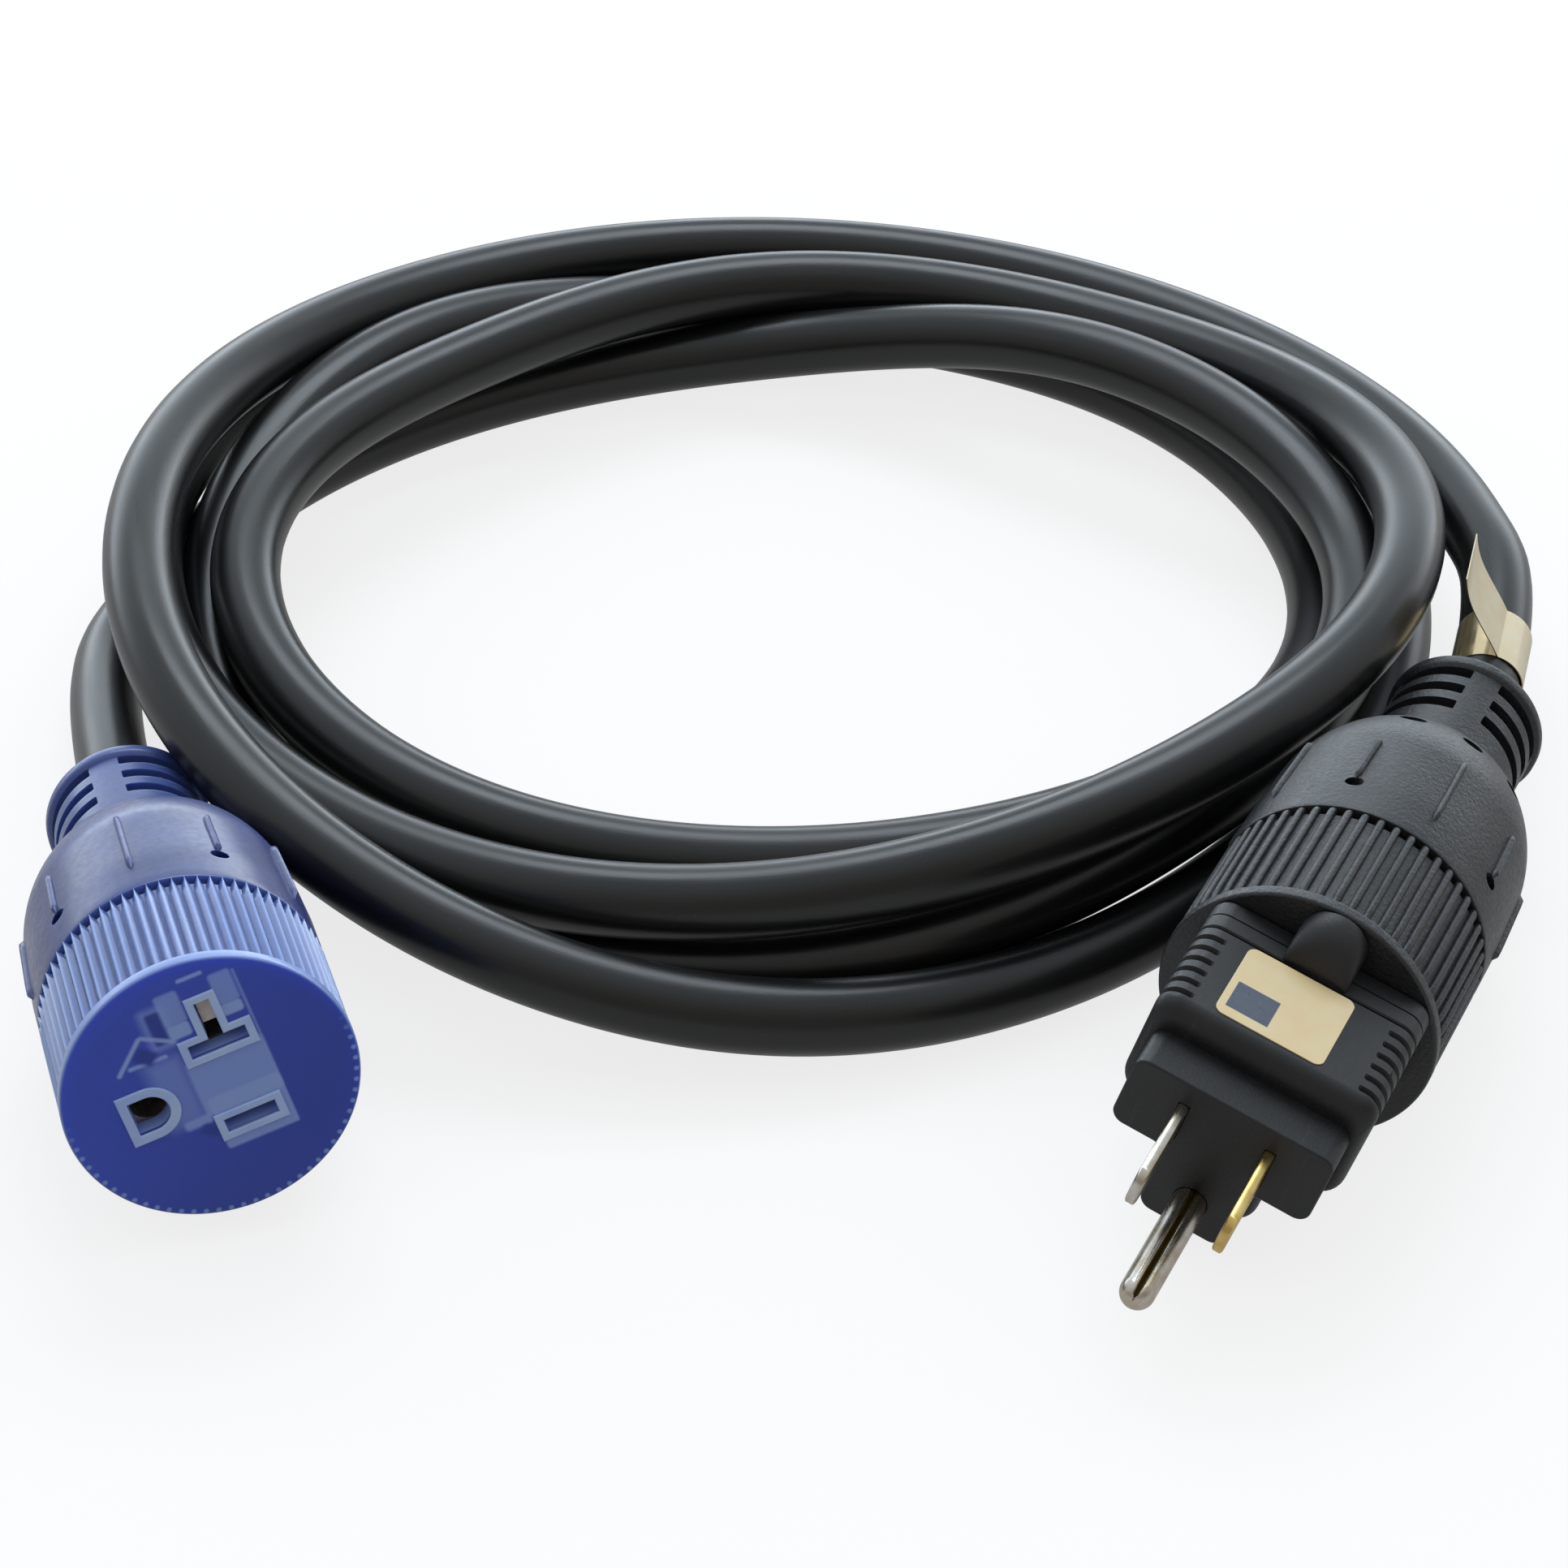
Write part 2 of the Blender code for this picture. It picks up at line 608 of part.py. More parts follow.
def adapter_sections():
    """Outlines of the adapter's front body, from the seam forward to the boss face."""
    seam = -ADAPTER_LENGTH + COVER_LENGTH + FIT_GAP / 2
    full = (ARM_HALF, ARM_TOP, ARM_BOTTOM, STEM_HALF, STEM_BOTTOM)
    boss = (BOSS_ARM_HALF, BOSS_TOP, BOSS_ARM_BOTTOM, BOSS_STEM_HALF, BOSS_STEM_BOTTOM)
    sections = [(seam, tee(*full, BODY_CORNER))]
    for turn in (0, 0.25, 0.5, 0.75, 1):
        angle = turn * math.pi / 2
        toward_boss = 0.8 * (1 - math.cos(angle))
        sides = [a + (b - a) * toward_boss for a, b in zip(full, boss)]
        corner = BODY_CORNER + (BOSS_CORNER - BODY_CORNER) * toward_boss
        z = -BOSS_HEIGHT - FRONT_ROUND * (1 - math.sin(angle))
        sections.append((z, tee(*sides, corner)))
    top_edge = [side - math.copysign(BOSS_EDGE, side) for side in boss]
    sections += [
        (-BOSS_HEIGHT, tee(*boss, BOSS_CORNER)),
        (-BOSS_EDGE, tee(*boss, BOSS_CORNER)),
        (0, tee(*top_edge, BOSS_CORNER - BOSS_EDGE)),
    ]
    return sections


def adapter(frame):
    """The pull-off adapter: front body, rear cover, three through contacts and a label."""
    places = {"hot": (-BLADE_X, 0), "neutral": (BLADE_X, 0), "ground": (0, -GROUND_DROP)}
    sockets = dict(places, neutral=(CROSS_BLADE_X, 0))
    sizes = {"hot": contact_size(False), "neutral": contact_size(True)}
    seam = -ADAPTER_LENGTH + COVER_LENGTH
    socket_back = seam + FIT_GAP
    pin_radius = GROUND_PIN_DIAMETER / 2
    ground_bore = pin_radius + FIT_GAP
    ground_radius = ground_bore + CONTACT_WALL
    tip = -ADAPTER_LENGTH - FIT_GAP
    floor = tip + GROUND_PIN_LENGTH + 2 * FIT_GAP
    ground_front = floor + CONTACT_BACK

    body = loft("adapter_front_body", adapter_sections(), black_plastic, frame)
    forward = (ADAPTER_SOCKET_FRONT - CONTACT_BACK - FIT_GAP, FIT_GAP)
    behind = (seam - FIT_GAP, ADAPTER_SOCKET_FRONT + FIT_GAP)
    ground_forward = (ground_front - CONTACT_BACK - FIT_GAP, FIT_GAP)
    ground_behind = (seam - FIT_GAP, ground_front + FIT_GAP)
    cuts = [
        upright_slot("front_hot_cut", places["hot"], forward, frame),
        upright_slot("front_neutral_cut", places["neutral"], forward, frame),
        round_hole("front_ground_cut", ground_bore, places["ground"], ground_forward, frame),
        pocket("socket_hot_cut", sizes["hot"], sockets["hot"], behind, frame),
        pocket("socket_neutral_cut", sizes["neutral"], sockets["neutral"], behind, frame),
        round_hole("socket_ground_cut", ground_radius + FIT_GAP, sockets["ground"], ground_behind, frame),
    ]
    combine(body, cuts, "DIFFERENCE")

    add_rear_cover(sockets, ground_bore, seam, frame)

    for name in ("hot", "neutral"):
        seat = (socket_back, ADAPTER_SOCKET_FRONT)
        piece = block(f"adapter_{name}_contact", sizes[name], sockets[name], seat, brass, frame)
        mouth = (seat[0] - FIT_GAP, tip + BLADE_LENGTH + 2 * FIT_GAP)
        cut_size = (sizes[name][0] - 2 * CONTACT_WALL, sizes[name][1] - 2 * CONTACT_WALL)
        cut = block(f"adapter_{name}_mouth", cut_size, sockets[name], mouth, frame=frame)
        combine(piece, [cut], "DIFFERENCE")
        reach = (ADAPTER_SOCKET_FRONT - CONTACT_BACK, ADAPTER_BLADE_LENGTH)
        front_blade = blade(f"adapter_{name}_blade", places[name], False, reach, None, frame)
        combine(piece, [front_blade], "UNION")
    profile = [(0, floor), (ground_bore, floor), (ground_bore, socket_back), (ground_radius, socket_back)]
    profile += [(ground_radius, ground_front), (0, ground_front)]
    piece = turned("adapter_ground_contact", profile, PIN_SEGMENTS, nickel, frame, places["ground"])
    reach = (ground_front - CONTACT_WALL / 2, ADAPTER_PIN_LENGTH)
    pin = round_pin("adapter_ground_pin", places["ground"], reach, None, frame)
    combine(piece, [pin], "UNION")

    width, length, thickness = LABEL_SIZE
    back = seam + LABEL_BACK
    corners = rectangle(width, length, (LABEL_SIDE, back + length / 2))
    outline = rounded(corners, LABEL_CORNER)
    label = loft("adapter_label", [(0, outline), (thickness, outline)], foil, frame)
    label.rotation_euler = (math.radians(90), 0, 0)
    label.location = (0, ARM_TOP + FIT_GAP + thickness, 0)


def add_rear_cover(sockets, ground_bore, seam, frame):
    """The adapter's rear cover: a T plate with a hump on top and openings for the plug."""
    full = (ARM_HALF, ARM_TOP, ARM_BOTTOM, STEM_HALF, STEM_BOTTOM)
    edge = [side - math.copysign(COVER_EDGE, side) for side in full]
    front = seam - FIT_GAP / 2
    sections = [
        (-ADAPTER_LENGTH, tee(*edge, BODY_CORNER - COVER_EDGE)),
        (-ADAPTER_LENGTH + COVER_EDGE, tee(*full, BODY_CORNER)),
        (front, tee(*full, BODY_CORNER)),
    ]
    cover = loft("adapter_rear_cover", sections, black_plastic, frame)
    combine(cover, [hump(front, frame)], "UNION")
    reach = (-ADAPTER_LENGTH - FIT_GAP, front + FIT_GAP)
    cuts = [
        upright_slot("cover_hot_cut", sockets["hot"], reach, frame),
        tee_slot("cover_neutral_cut", 1, 0, reach, frame),
        round_hole("cover_ground_cut", ground_bore, sockets["ground"], reach, frame),
    ]
    combine(cover, cuts, "DIFFERENCE")


def hump(front, frame):
    """The round-topped hump that ramps up from the cover's front edge to the plug's face."""
    sections = []
    for share in (0, 0.25, 0.5, 0.75, 0.94):
        rise = (HUMP_TOP - ARM_TOP) * math.sqrt(1 - share * share)
        foot = ARM_TOP - HUMP_SINK
        top = ARM_TOP + rise
        side_top = foot + (top - foot) * 0.5
        outline = [(-HUMP_HALF, foot), (HUMP_HALF, foot)]
        for step in range(9):
            angle = math.pi * step / 8
            outline.append((HUMP_HALF * math.cos(angle), side_top + (top - side_top) * math.sin(angle)))
        sections.append((-ADAPTER_LENGTH + (front + ADAPTER_LENGTH) * share, outline))
    return loft("hump_join", sections, frame=frame)


def natural_curve(values):
    """Second derivatives of the natural cubic through evenly spaced values."""
    count = len(values)
    system = np.eye(count)
    target = np.zeros(count)
    for k in range(1, count - 1):
        system[k, k - 1 : k + 2] = (1, 4, 1)
        target[k] = 6 * (values[k - 1] - 2 * values[k] + values[k + 1])
    return np.linalg.solve(system, target)


def smooth_at(values, place):
    """Value of that curve at a place counted in steps from the first value."""
    bend = natural_curve(values)
    k = min(int(place), len(values) - 2)
    v = place - k
    u = 1 - v
    curve = u * values[k] + v * values[k + 1]
    return curve + ((u**3 - u) * bend[k] + (v**3 - v) * bend[k + 1]) / 6


def coil_point(radii, heights, degrees):
    """A point of the coil at a clockwise angle from its left side."""
    place = degrees / 45
    radius = smooth_at(radii, place) * MM
    height = smooth_at(heights, place) * MM
    angle = math.radians(180 - degrees)
    x, y = COIL_CENTRE
    return Vector((x + radius * math.cos(angle), y + radius * math.sin(angle), height))


def coil_points():
    """The wound cord, with both ends straight for one diameter."""
    knots = [knot for lap in COIL_LAPS for knot in lap]
    radii = np.array([knot[0] for knot in knots], float)
    heights = np.array([knot[1] for knot in knots], float)
    last = 45 * (len(knots) - 1)
    angles = range(0, last + 1, COIL_STEP_DEGREES)
    points = [coil_point(radii, heights, degrees) for degrees in angles]
    for end, following in ((0, 1), (-1, -2)):
        direction = (points[end] - points[following]).normalized()
        points[following] = points[end] - direction * CORD_DIAMETER
    return points


def lead_points(exit_point, exit_direction, coil_end, coil_direction):
    """A short free run from a neck to the coil's end, straight where it leaves and arrives."""
    straight = CORD_DIAMETER / 2
    first = exit_point + exit_direction * FIT_GAP
    last = coil_end + coil_direction * FIT_GAP
    start = first + exit_direction * straight
    finish = last + coil_direction * straight
    reach = (finish - start).length * LEAD_STIFFNESS
    points = [first]
    for k in range(LEAD_POINTS):
        share = k / (LEAD_POINTS - 1)
        ease = share * share * (3 - 2 * share)
        leave = reach * share * (1 - share) ** 2
        arrive = reach * share * share * (1 - share)
        spot = start.lerp(finish, ease) + exit_direction * leave + coil_direction * arrive
        points.append(spot)
    return points + [last]


def neck_exit(frame):
    """Centre of a neck's rear and the direction in which the cord leaves it."""
    bpy.context.view_layer.update()
    world = frame.matrix_world
    direction = -world.col[2].to_3d().normalized()
    return world.to_translation() + direction * SHELL_LENGTH, direction


def along_path(points, distance):
    """The point at a distance along a path, and the path's direction there."""
    for here, following in zip(points, points[1:]):
        step = following - here
        if distance <= step.length:
            return here + step.normalized() * distance, step.normalized()
        distance -= step.length
    return points[-1], (points[-1] - points[-2]).normalized()


def cord_tag(lead):
    """A foil band round the cord behind the plug's neck, whose free end stands up as a flap."""
    middle = CORD_DIAMETER / 2 + FIT_GAP + TAG_THICKNESS / 2
    place, along = along_path(lead, TAG_FROM_NECK + TAG_WIDTH / 2)
    left = Vector((0, 0, 1)).cross(along).normalized()
    upward = along.cross(left)
    crease = TAG_CREASE_DEGREES - 360
    steps = 24
    line = []
    for k in range(steps + 1):
        angle = math.radians(TAG_START_DEGREES + (crease - TAG_START_DEGREES) * k / steps)
        line.append(Vector((middle * math.cos(angle), middle * math.sin(angle))))
    for lean in TAG_FLAP_LEAN_DEGREES:
        lean = math.radians(lean)
        step = TAG_FLAP / len(TAG_FLAP_LEAN_DEGREES)
        line.append(line[-1] + Vector((math.sin(lean), math.cos(lean))) * step)
    sides = []
    for k, point in enumerate(line):
        run = (line[min(k + 1, len(line) - 1)] - line[max(k - 1, 0)]).normalized()
        normal = Vector((run.y, -run.x)) * TAG_THICKNESS / 2
        sides.append((point + normal, point - normal))
    outline = [tuple(side) for side, _ in sides] + [tuple(side) for _, side in reversed(sides)]
    tag = loft("cord_tag", [(-TAG_WIDTH / 2, outline), (TAG_WIDTH / 2, outline)], foil)
    tag.location = place
    tag.rotation_euler = Matrix((left, upward, along)).transposed().to_euler()
    return tag


def print_least_gap(points):
    """Print the least gap between passes of the cord that don't follow each other directly."""
    spots = np.array([tuple(point) for point in points])
    lengths = np.linalg.norm(np.diff(spots, axis=0), axis=1)
    along = np.concatenate([[0], np.cumsum(lengths)])
    apart = np.linalg.norm(spots[:, None] - spots[None], axis=2)
    apart[np.abs(along[:, None] - along[None]) < 8 * CORD_DIAMETER] = 1
    print(f"cord length {along[-1]:.3f} m, least gap {(apart.min() - CORD_DIAMETER) / MM:.2f} mm")


def cord(connector_frame, plug_frame):
    """The cord: its coil, a lead to each moulded end, and the tag."""
    points = coil_points()
    tube("cord_coil", points, CORD_DIAMETER, 1, cord_jacket)
    leads = []
    ends = ((connector_frame, points[0], points[1]), (plug_frame, points[-1], points[-2]))
    for frame, end, following in ends:
        exit_point, direction = neck_exit(frame)
        away = (end - following).normalized()
        leads.append(lead_points(exit_point, direction, end, away))
    tube("connector_lead", leads[0], CORD_DIAMETER, 2, cord_jacket)
    tube("plug_lead", leads[1], CORD_DIAMETER, 2, cord_jacket)
    print_least_gap(leads[0] + points + leads[1][::-1])
    cord_tag(leads[1])


def from_coil(offset):
    return (COIL_CENTRE[0] + offset[0], COIL_CENTRE[1] + offset[1], offset[2])


def main():
    clear_scene()
    socket = end_frame("connector_frame", from_coil(CONNECTOR_FROM_COIL),
                       CONNECTOR_HEADING, CONNECTOR_TILT, CONNECTOR_ROLL)
    pins = end_frame("plug_frame", from_coil(PLUG_FROM_COIL), PLUG_HEADING, PLUG_TILT, PLUG_ROLL)
    sliding = bpy.data.objects.new("adapter_frame", None)
    bpy.context.collection.objects.link(sliding)
    sliding.parent = pins
    sliding.location = (0, BLADE_LINE_PLUG, ADAPTER_LENGTH + FIT_GAP)
    connector(socket)
    plug(pins)
    adapter(sliding)
    cord(socket, pins)


main()
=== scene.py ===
"""Looks for a coiled power cord with a see-through connector, a black plug and a pull-off adapter.

Metres, +Z up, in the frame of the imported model. Each moulded end is made about the centre of its
face, with +Z out of the face and +Y away from its ground contact, and then put in place.
"""

import json
import math

import bmesh
import bpy
import numpy as np
from bpy.props import FloatProperty, FloatVectorProperty, IntProperty, PointerProperty
from mathutils import Matrix, Vector


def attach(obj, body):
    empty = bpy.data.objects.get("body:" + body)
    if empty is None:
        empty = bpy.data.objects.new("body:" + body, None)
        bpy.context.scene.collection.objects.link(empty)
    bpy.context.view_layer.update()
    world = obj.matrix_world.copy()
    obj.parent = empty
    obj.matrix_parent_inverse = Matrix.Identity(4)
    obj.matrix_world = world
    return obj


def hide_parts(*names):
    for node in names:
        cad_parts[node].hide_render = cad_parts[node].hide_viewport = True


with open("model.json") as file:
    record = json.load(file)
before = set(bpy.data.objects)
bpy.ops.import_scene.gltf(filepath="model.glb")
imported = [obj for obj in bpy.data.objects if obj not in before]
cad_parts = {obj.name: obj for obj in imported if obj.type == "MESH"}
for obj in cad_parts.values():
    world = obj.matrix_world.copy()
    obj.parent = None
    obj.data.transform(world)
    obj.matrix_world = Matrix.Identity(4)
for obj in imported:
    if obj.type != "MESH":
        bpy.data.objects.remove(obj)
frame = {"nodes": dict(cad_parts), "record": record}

bl_info = {
    "name": "Coiled Power Cord",
    "version": (1, 0, 0),
    "blender": (4, 5, 0),
    "location": "3D View > Sidebar > Power Cord",
    "description": "Dresses a coiled power cord with its moulded ends, adapter and tag",
    "category": "Add Mesh",
}

MM = 0.001
MERGE = 0.000005
SHARP_DEGREES = 35
QUARTER = math.pi / 2

# The standard contact pattern, and the openings in the connector's face
BLADE_X = 6.35 * MM
CROSS_BLADE_X = 8.65 * MM
GROUND_DROP = 11.9 * MM
BLADE_WIDTH = 6.35 * MM
BLADE_THICKNESS = 1.5 * MM
FACE_SLOT_WIDTH = 2.1 * MM
FACE_SLOT_HEIGHT = 7.2 * MM
TEE_HEIGHT = 8 * MM
TEE_REACH = 13.2 * MM
GROUND_RADIUS = 2.65 * MM
GROUND_FLAT = 2.4 * MM

# The line of each end's blades above its centre, and each end's turn in degrees
CONNECTOR_LINE = 3.3 * MM
PLUG_LINE = 1.7 * MM
CONNECTOR_ROLL = -75.4
PLUG_ROLL = -16.4

# The adapter: from its face back to the plug's, the rounding of its boss, its finger grooves on a
# side, and the slit along its pin, as a share of the pin's radius and in radians round it
ADAPTER_DEPTH = 31.2 * MM
BOSS_CORNER = 2 * MM
GROOVES = 6
PIN_SLIT_DEPTH = 0.45
PIN_SLIT_SPREAD = 0.17

# The coil: radius and height of the cord's middle in mm, at each eighth of a turn, clockwise from
# above, beginning at the coil's left side
COIL_CENTRE = (-4.1 * MM, 103.4 * MM)
COIL_LAPS = (
    ((101.5, 6), (82.3, 7.5), (73.6, 11.8), (73.5, 24.2), (91.6, 19.4), (89.5, 15.9),
     (91, 7.9), (87.7, 6)),
    ((89.4, 12.9), (86.4, 20.4), (88.6, 9.2), (91.2, 6.4), (88.3, 5.8), (77.3, 10.7),
     (74.2, 13.3), (80.4, 16.3)),
    ((82.5, 22.3), (72.8, 22.1), (80.8, 20.4), (90, 20), (99.7, 28.2), (93.9, 29),
     (91.4, 20.5), (93.7, 16.6)),
    ((99.2, 18.2), (106.7, 10.4), (114.3, 7.3), (109.7, 6.4), (100.4, 5.7), (96.2, 6.5),
     (104, 9.3), (104.6, 24.9)),
    ((97.9, 29.8), (98, 21.5), (99.4, 16.7), (102.7, 16.8), (111.6, 21.7)),
)
KNOT_DEGREES = 45
COIL_STEP_DEGREES = 5
LEAD_STEPS = 24
LEAD_STIFFNESS = 0.6
LEAD_STRAIGHT = 5.5 * MM
PATH_STEP = 2.5 * MM
CORD_SIDES = 28
TAG_START_DEGREES = 101.0
TAG_CREASE_DEGREES = 104.0
TAG_FLAP_LEAN_DEGREES = (26, 30, 30, 26, 16, 6)
TAG_BAND_STEPS = 64
TAG_FLAP_STEPS = 25

# The flex relief slots of a neck, and the throat between the neck and the inner block
SLOT_ROWS = 3
SLOT_COLUMNS = 4
SLOT_BAR_DEGREES = 23.0
THROAT_RADIUS = 12.9 * MM

# The mould's pull on each end, in degrees, and the ribs along the body, in degrees from that pull
CONNECTOR_PULL = 178.5
PLUG_PULL = 79.5
LONG_RIBS = (-72, 0, 72)
HOLED_RIBS = (-36, 36)
RIB_WIDTH = 1.0 * MM
RIB_HEIGHT = 0.7 * MM

# Blind holes: cut from and to these depths, with the place and size of those at the short ribs and
# of the vents in the plug's shoulder: radius, distance behind the face, width and height
HOLE_DEPTHS = (-2.2 * MM, 4 * MM)
RIB_HOLE = (28.5 * MM, 2.2 * MM, 2.0 * MM)
VENT = (17.1 * MM, 50 * MM, 3.5 * MM, 2.3 * MM)
VENT_DEGREES = (-30, 0, 31)

# The painted reflection of the hump, a dark shape on the label, in mm across and behind the adapter's face
REFLECTION_CENTRE = (-5.0, 14.3)
REFLECTION_HALF = (3.1, 2.7)

# The camera, and where the light comes from: above and behind
CAMERA_PLACE = (-3.85 * MM, -450.7 * MM, 388.8 * MM)
CAMERA_TURN_DEGREES = (("Z", -0.177), ("X", 53.058), ("Z", 0.295))
SENSOR_WIDTH_MM = 36
LIGHT_FROM = (-0.1, 0.72, 0.68)
LAMP_PLACE = (0, 0.6, 0.85)
LAMP_AIM = (0, 0.08, 0)
LAMP_SIZE = (0.7, 0.4)

MOUNTS = {mount["name"]: mount for mount in frame["record"]["mounts"]}


def end_place(mount, roll, shift=(0, 0, 0)):
    """The matrix of a face: +Z out of it, turned by the end's roll."""
    outward = Vector(mount["axis"]).normalized()
    across = Vector((0, 0, 1)).cross(outward).normalized()
    upward = outward.cross(across)
    turn = Matrix((across, upward, outward)).transposed() @ Matrix.Rotation(math.radians(roll), 3, "Z")
    return Matrix.Translation(Vector(mount["pos_m"]) + turn @ Vector(shift)) @ turn.to_4x4()


CONNECTOR = end_place(MOUNTS["connector_face"], CONNECTOR_ROLL)
ADAPTER = end_place(MOUNTS["adapter_face"], PLUG_ROLL)
PLUG = end_place(MOUNTS["adapter_face"], PLUG_ROLL, (0, -PLUG_LINE, -ADAPTER_DEPTH))


def length(name, description, in_mm):
    """A length property, kept in metres, whose default is given in mm."""
    return FloatProperty(name=name, description=description, default=in_mm * MM, min=0.0,
                         precision=5, unit="LENGTH")


def level(name, description, default, **more):
    """A number that can't go below zero."""
    return FloatProperty(name=name, description=description, default=default, min=0.0, **more)


def colour(name, description, default):
    """A colour property."""
    return FloatVectorProperty(name=name, description=description, default=default, size=3,
                               min=0.0, max=1.0, subtype="COLOR")


def share(name, description, default):
    """A number from 0 to 1."""
    return level(name, description, default, max=1.0, subtype="FACTOR")


def count(name, description, default):
    """A whole number of at least 1."""
    return IntProperty(name=name, description=description, default=default, min=1)


class EndSizes(bpy.types.PropertyGroup):
    """The turned outside of a moulded end, the same for both."""

    radius: length("Radius", "Outer radius at the rim", 20)
    rim: length("Rim", "Width of the plain rim at the face", 2)
    grip: length("Grip", "Length of the ridged grip behind the rim", 20)
    grip_depth: length("Grip Depth", "Depth of the grooves between ridges", 0.85)
    pocket: length("Pocket", "Length of the deeper groove under the body's edge", 1.1)
    body: length("Body", "From the face to the end of the straight body", 41)
    shoulder: length("Shoulder", "Length of the rounded shoulder", 15.3)
    neck: length("Neck", "Length of the slotted neck", 19.7)
    neck_radius: length("Neck Radius", "Outer radius of the neck", 11.2)
    lip: length("Lip", "Height of the lip at the neck's end", 0.7)
    lip_width: length("Lip Width", "Width of that lip", 2.5)
    wall: length("Wall", "Thickness of the face", 3)
    block_radius: length("Block Radius", "Radius of the hollow round the inner block", 16.6)
    block: length("Block", "Length of that hollow", 37)
    slot: length("Slot", "Width of a flex relief slot", 2.2)
    slot_pitch: length("Slot Pitch", "Distance between rows of slots", 4.2)
    slot_depth: length("Slot Depth", "Depth of a slot", 3)
    blue_ridges: count("Blue Ridges", "Sharp ridges round the connector", 72)
    black_ridges: count("Black Ridges", "Round ridges round the plug", 52)


class CordSizes(bpy.types.PropertyGroup):
    """The jacketed cord and the tag on it."""

    diameter: length("Diameter", "Outer diameter of the jacket", 11)
    whole: length("Length", "Length of the cord between the two necks", 2750)
    inside: length("Inside", "How far the jacket reaches into each neck", 5)
    tag_width: length("Tag Width", "Width of the tag along the cord", 11.5)
    tag_from_neck: length("Tag Place", "From the neck to the tag's near edge", 10.5)
    tag_flap: length("Tag Flap", "Free length of the tag", 15)
    tag_thickness: length("Tag Thickness", "Thickness of the film", 0.16)


class AdapterSizes(bpy.types.PropertyGroup):
    """The T shaped adapter."""

    depth: length("Depth", "From the boss face to the rear", 30.9)
    arm: length("Arm", "Half width of the T's arms", 16.3)
    top: length("Top", "Height of the top above the blade line", 11.4)
    arm_drop: length("Arm Drop", "Depth of the arms below the blade line", 6.2)
    stem: length("Stem", "Half width of the T's stem", 8)
    stem_drop: length("Stem Drop", "Depth of the stem below the blade line", 18.6)
    corner: length("Corner", "Radius of the long edges", 3)
    boss: length("Boss", "Height of the raised front", 7)
    boss_arm: length("Boss Arm", "Half width of the raised front", 14.6)
    boss_top: length("Boss Top", "Height of its top above the blade line", 6.8)
    boss_arm_drop: length("Boss Arm Drop", "Depth of its arms below the blade line", 5.4)
    boss_stem: length("Boss Stem", "Half width of its stem", 6.3)
    boss_stem_drop: length("Boss Stem Drop", "Depth of its stem", 16.9)
    front_round: length("Front Round", "Rounding from the body into the raised front", 2.5)
    cover: length("Cover", "Thickness of the rear cover", 6)
    hump: length("Hump", "Half width of the hump on the cover", 4.8)
    hump_top: length("Hump Top", "Height of the hump above the blade line", 18.2)
    groove: length("Groove", "Width of a finger groove on the sides", 1.15)
    groove_pitch: length("Groove Pitch", "Distance between finger grooves", 2.45)
    groove_depth: length("Groove Depth", "Depth of a finger groove", 0.6)
    blade: length("Blade", "Length of the flat blades", 15.7)
    pin: length("Pin", "Length of the ground pin", 21.4)
    pin_radius: length("Pin Radius", "Radius of the ground pin", 2.4)
    label_width: length("Label Width", "Width of the label", 15.9)
    label_length: length("Label Length", "Length of the label", 14.4)


class Colours(bpy.types.PropertyGroup):
    """The colours of the finishes."""

    blue: colour("Blue", "Connector plastic in the light", (0.024, 0.046, 0.21))
    blue_deep: colour("Deep Blue", "Connector face where it is thick", (0.06, 0.105, 0.58))
    # painted glow of light through thin plastic, and the painted highlights at the face's edge
    painted_glow_blue: colour("Pale Blue", "Thin edges and what shows through the face", (0.32, 0.46, 0.95))
    # painted glow: light through the face over the inner block, and on the slot walls
    glow: colour("Glow", "Thin plastic that light passes through", (0.36, 0.5, 1.0))
    trim: colour("Trim", "Raised edges round the slots", (0.42, 0.56, 1.0))
    black: colour("Black", "Plug plastic", (0.014, 0.0145, 0.0165))
    adapter: colour("Adapter Black", "Adapter plastic", (0.007, 0.007, 0.0078))
    jacket: colour("Jacket", "Cord jacket", (0.005, 0.005, 0.005))
    film: colour("Film", "Label and tag film", (0.8, 0.65, 0.38))
    film_back: colour("Film Back", "Back of the tag", (0.82, 0.72, 0.5))
    # painted reflection of the hump on the label
    hump_reflection: colour("Patch", "Dark patch on the label", (0.04, 0.05, 0.075))
    nickel: colour("Nickel", "Plated contacts", (0.62, 0.59, 0.54))
    brass: colour("Brass", "Bare contacts", (0.72, 0.54, 0.2))
    lip: colour("Contact Lip", "Dull contacts inside the connector", (0.55, 0.5, 0.46))
    inner: colour("Inner Plastic", "Inner blocks", (0.3, 0.38, 0.75))
    floor: colour("Floor", "Plain pale floor", (0.93, 0.93, 0.93))


class StageSizes(bpy.types.PropertyGroup):
    """Camera and lights."""

    lens: level("Lens", "Focal length in mm", 96.27)
    floor: length("Floor", "Side of the floor", 8000)
    sky: level("Sky", "Brightness of the sky above and behind", 0.95)
    backdrop: level("Backdrop", "Extra brightness low behind", 3.2)
    cool: colour("Cool", "Colour of the light from above and behind", (0.82, 0.92, 1.0))
    warm: colour("Warm", "Colour of the light in front", (1.0, 0.95, 0.9))
    front: share("Front", "Brightness of the sky low in front", 0.37)
    bounce: share("Bounce", "Share of its colour with which the floor lights the object", 0.28)
    glow: share("Glow", "Share of the seen floor that is plain white, to keep its shadows light", 0.8)
    lamp: level("Lamp", "Power of the overhead lamp", 4.0, unit="POWER")


class PowerCord(bpy.types.PropertyGroup):
    """All settings of the power cord."""

    end: PointerProperty(type=EndSizes)
    cord: PointerProperty(type=CordSizes)
    adapter: PointerProperty(type=AdapterSizes)
    colours: PointerProperty(type=Colours)
    stage: PointerProperty(type=StageSizes)


# ---- meshes ----


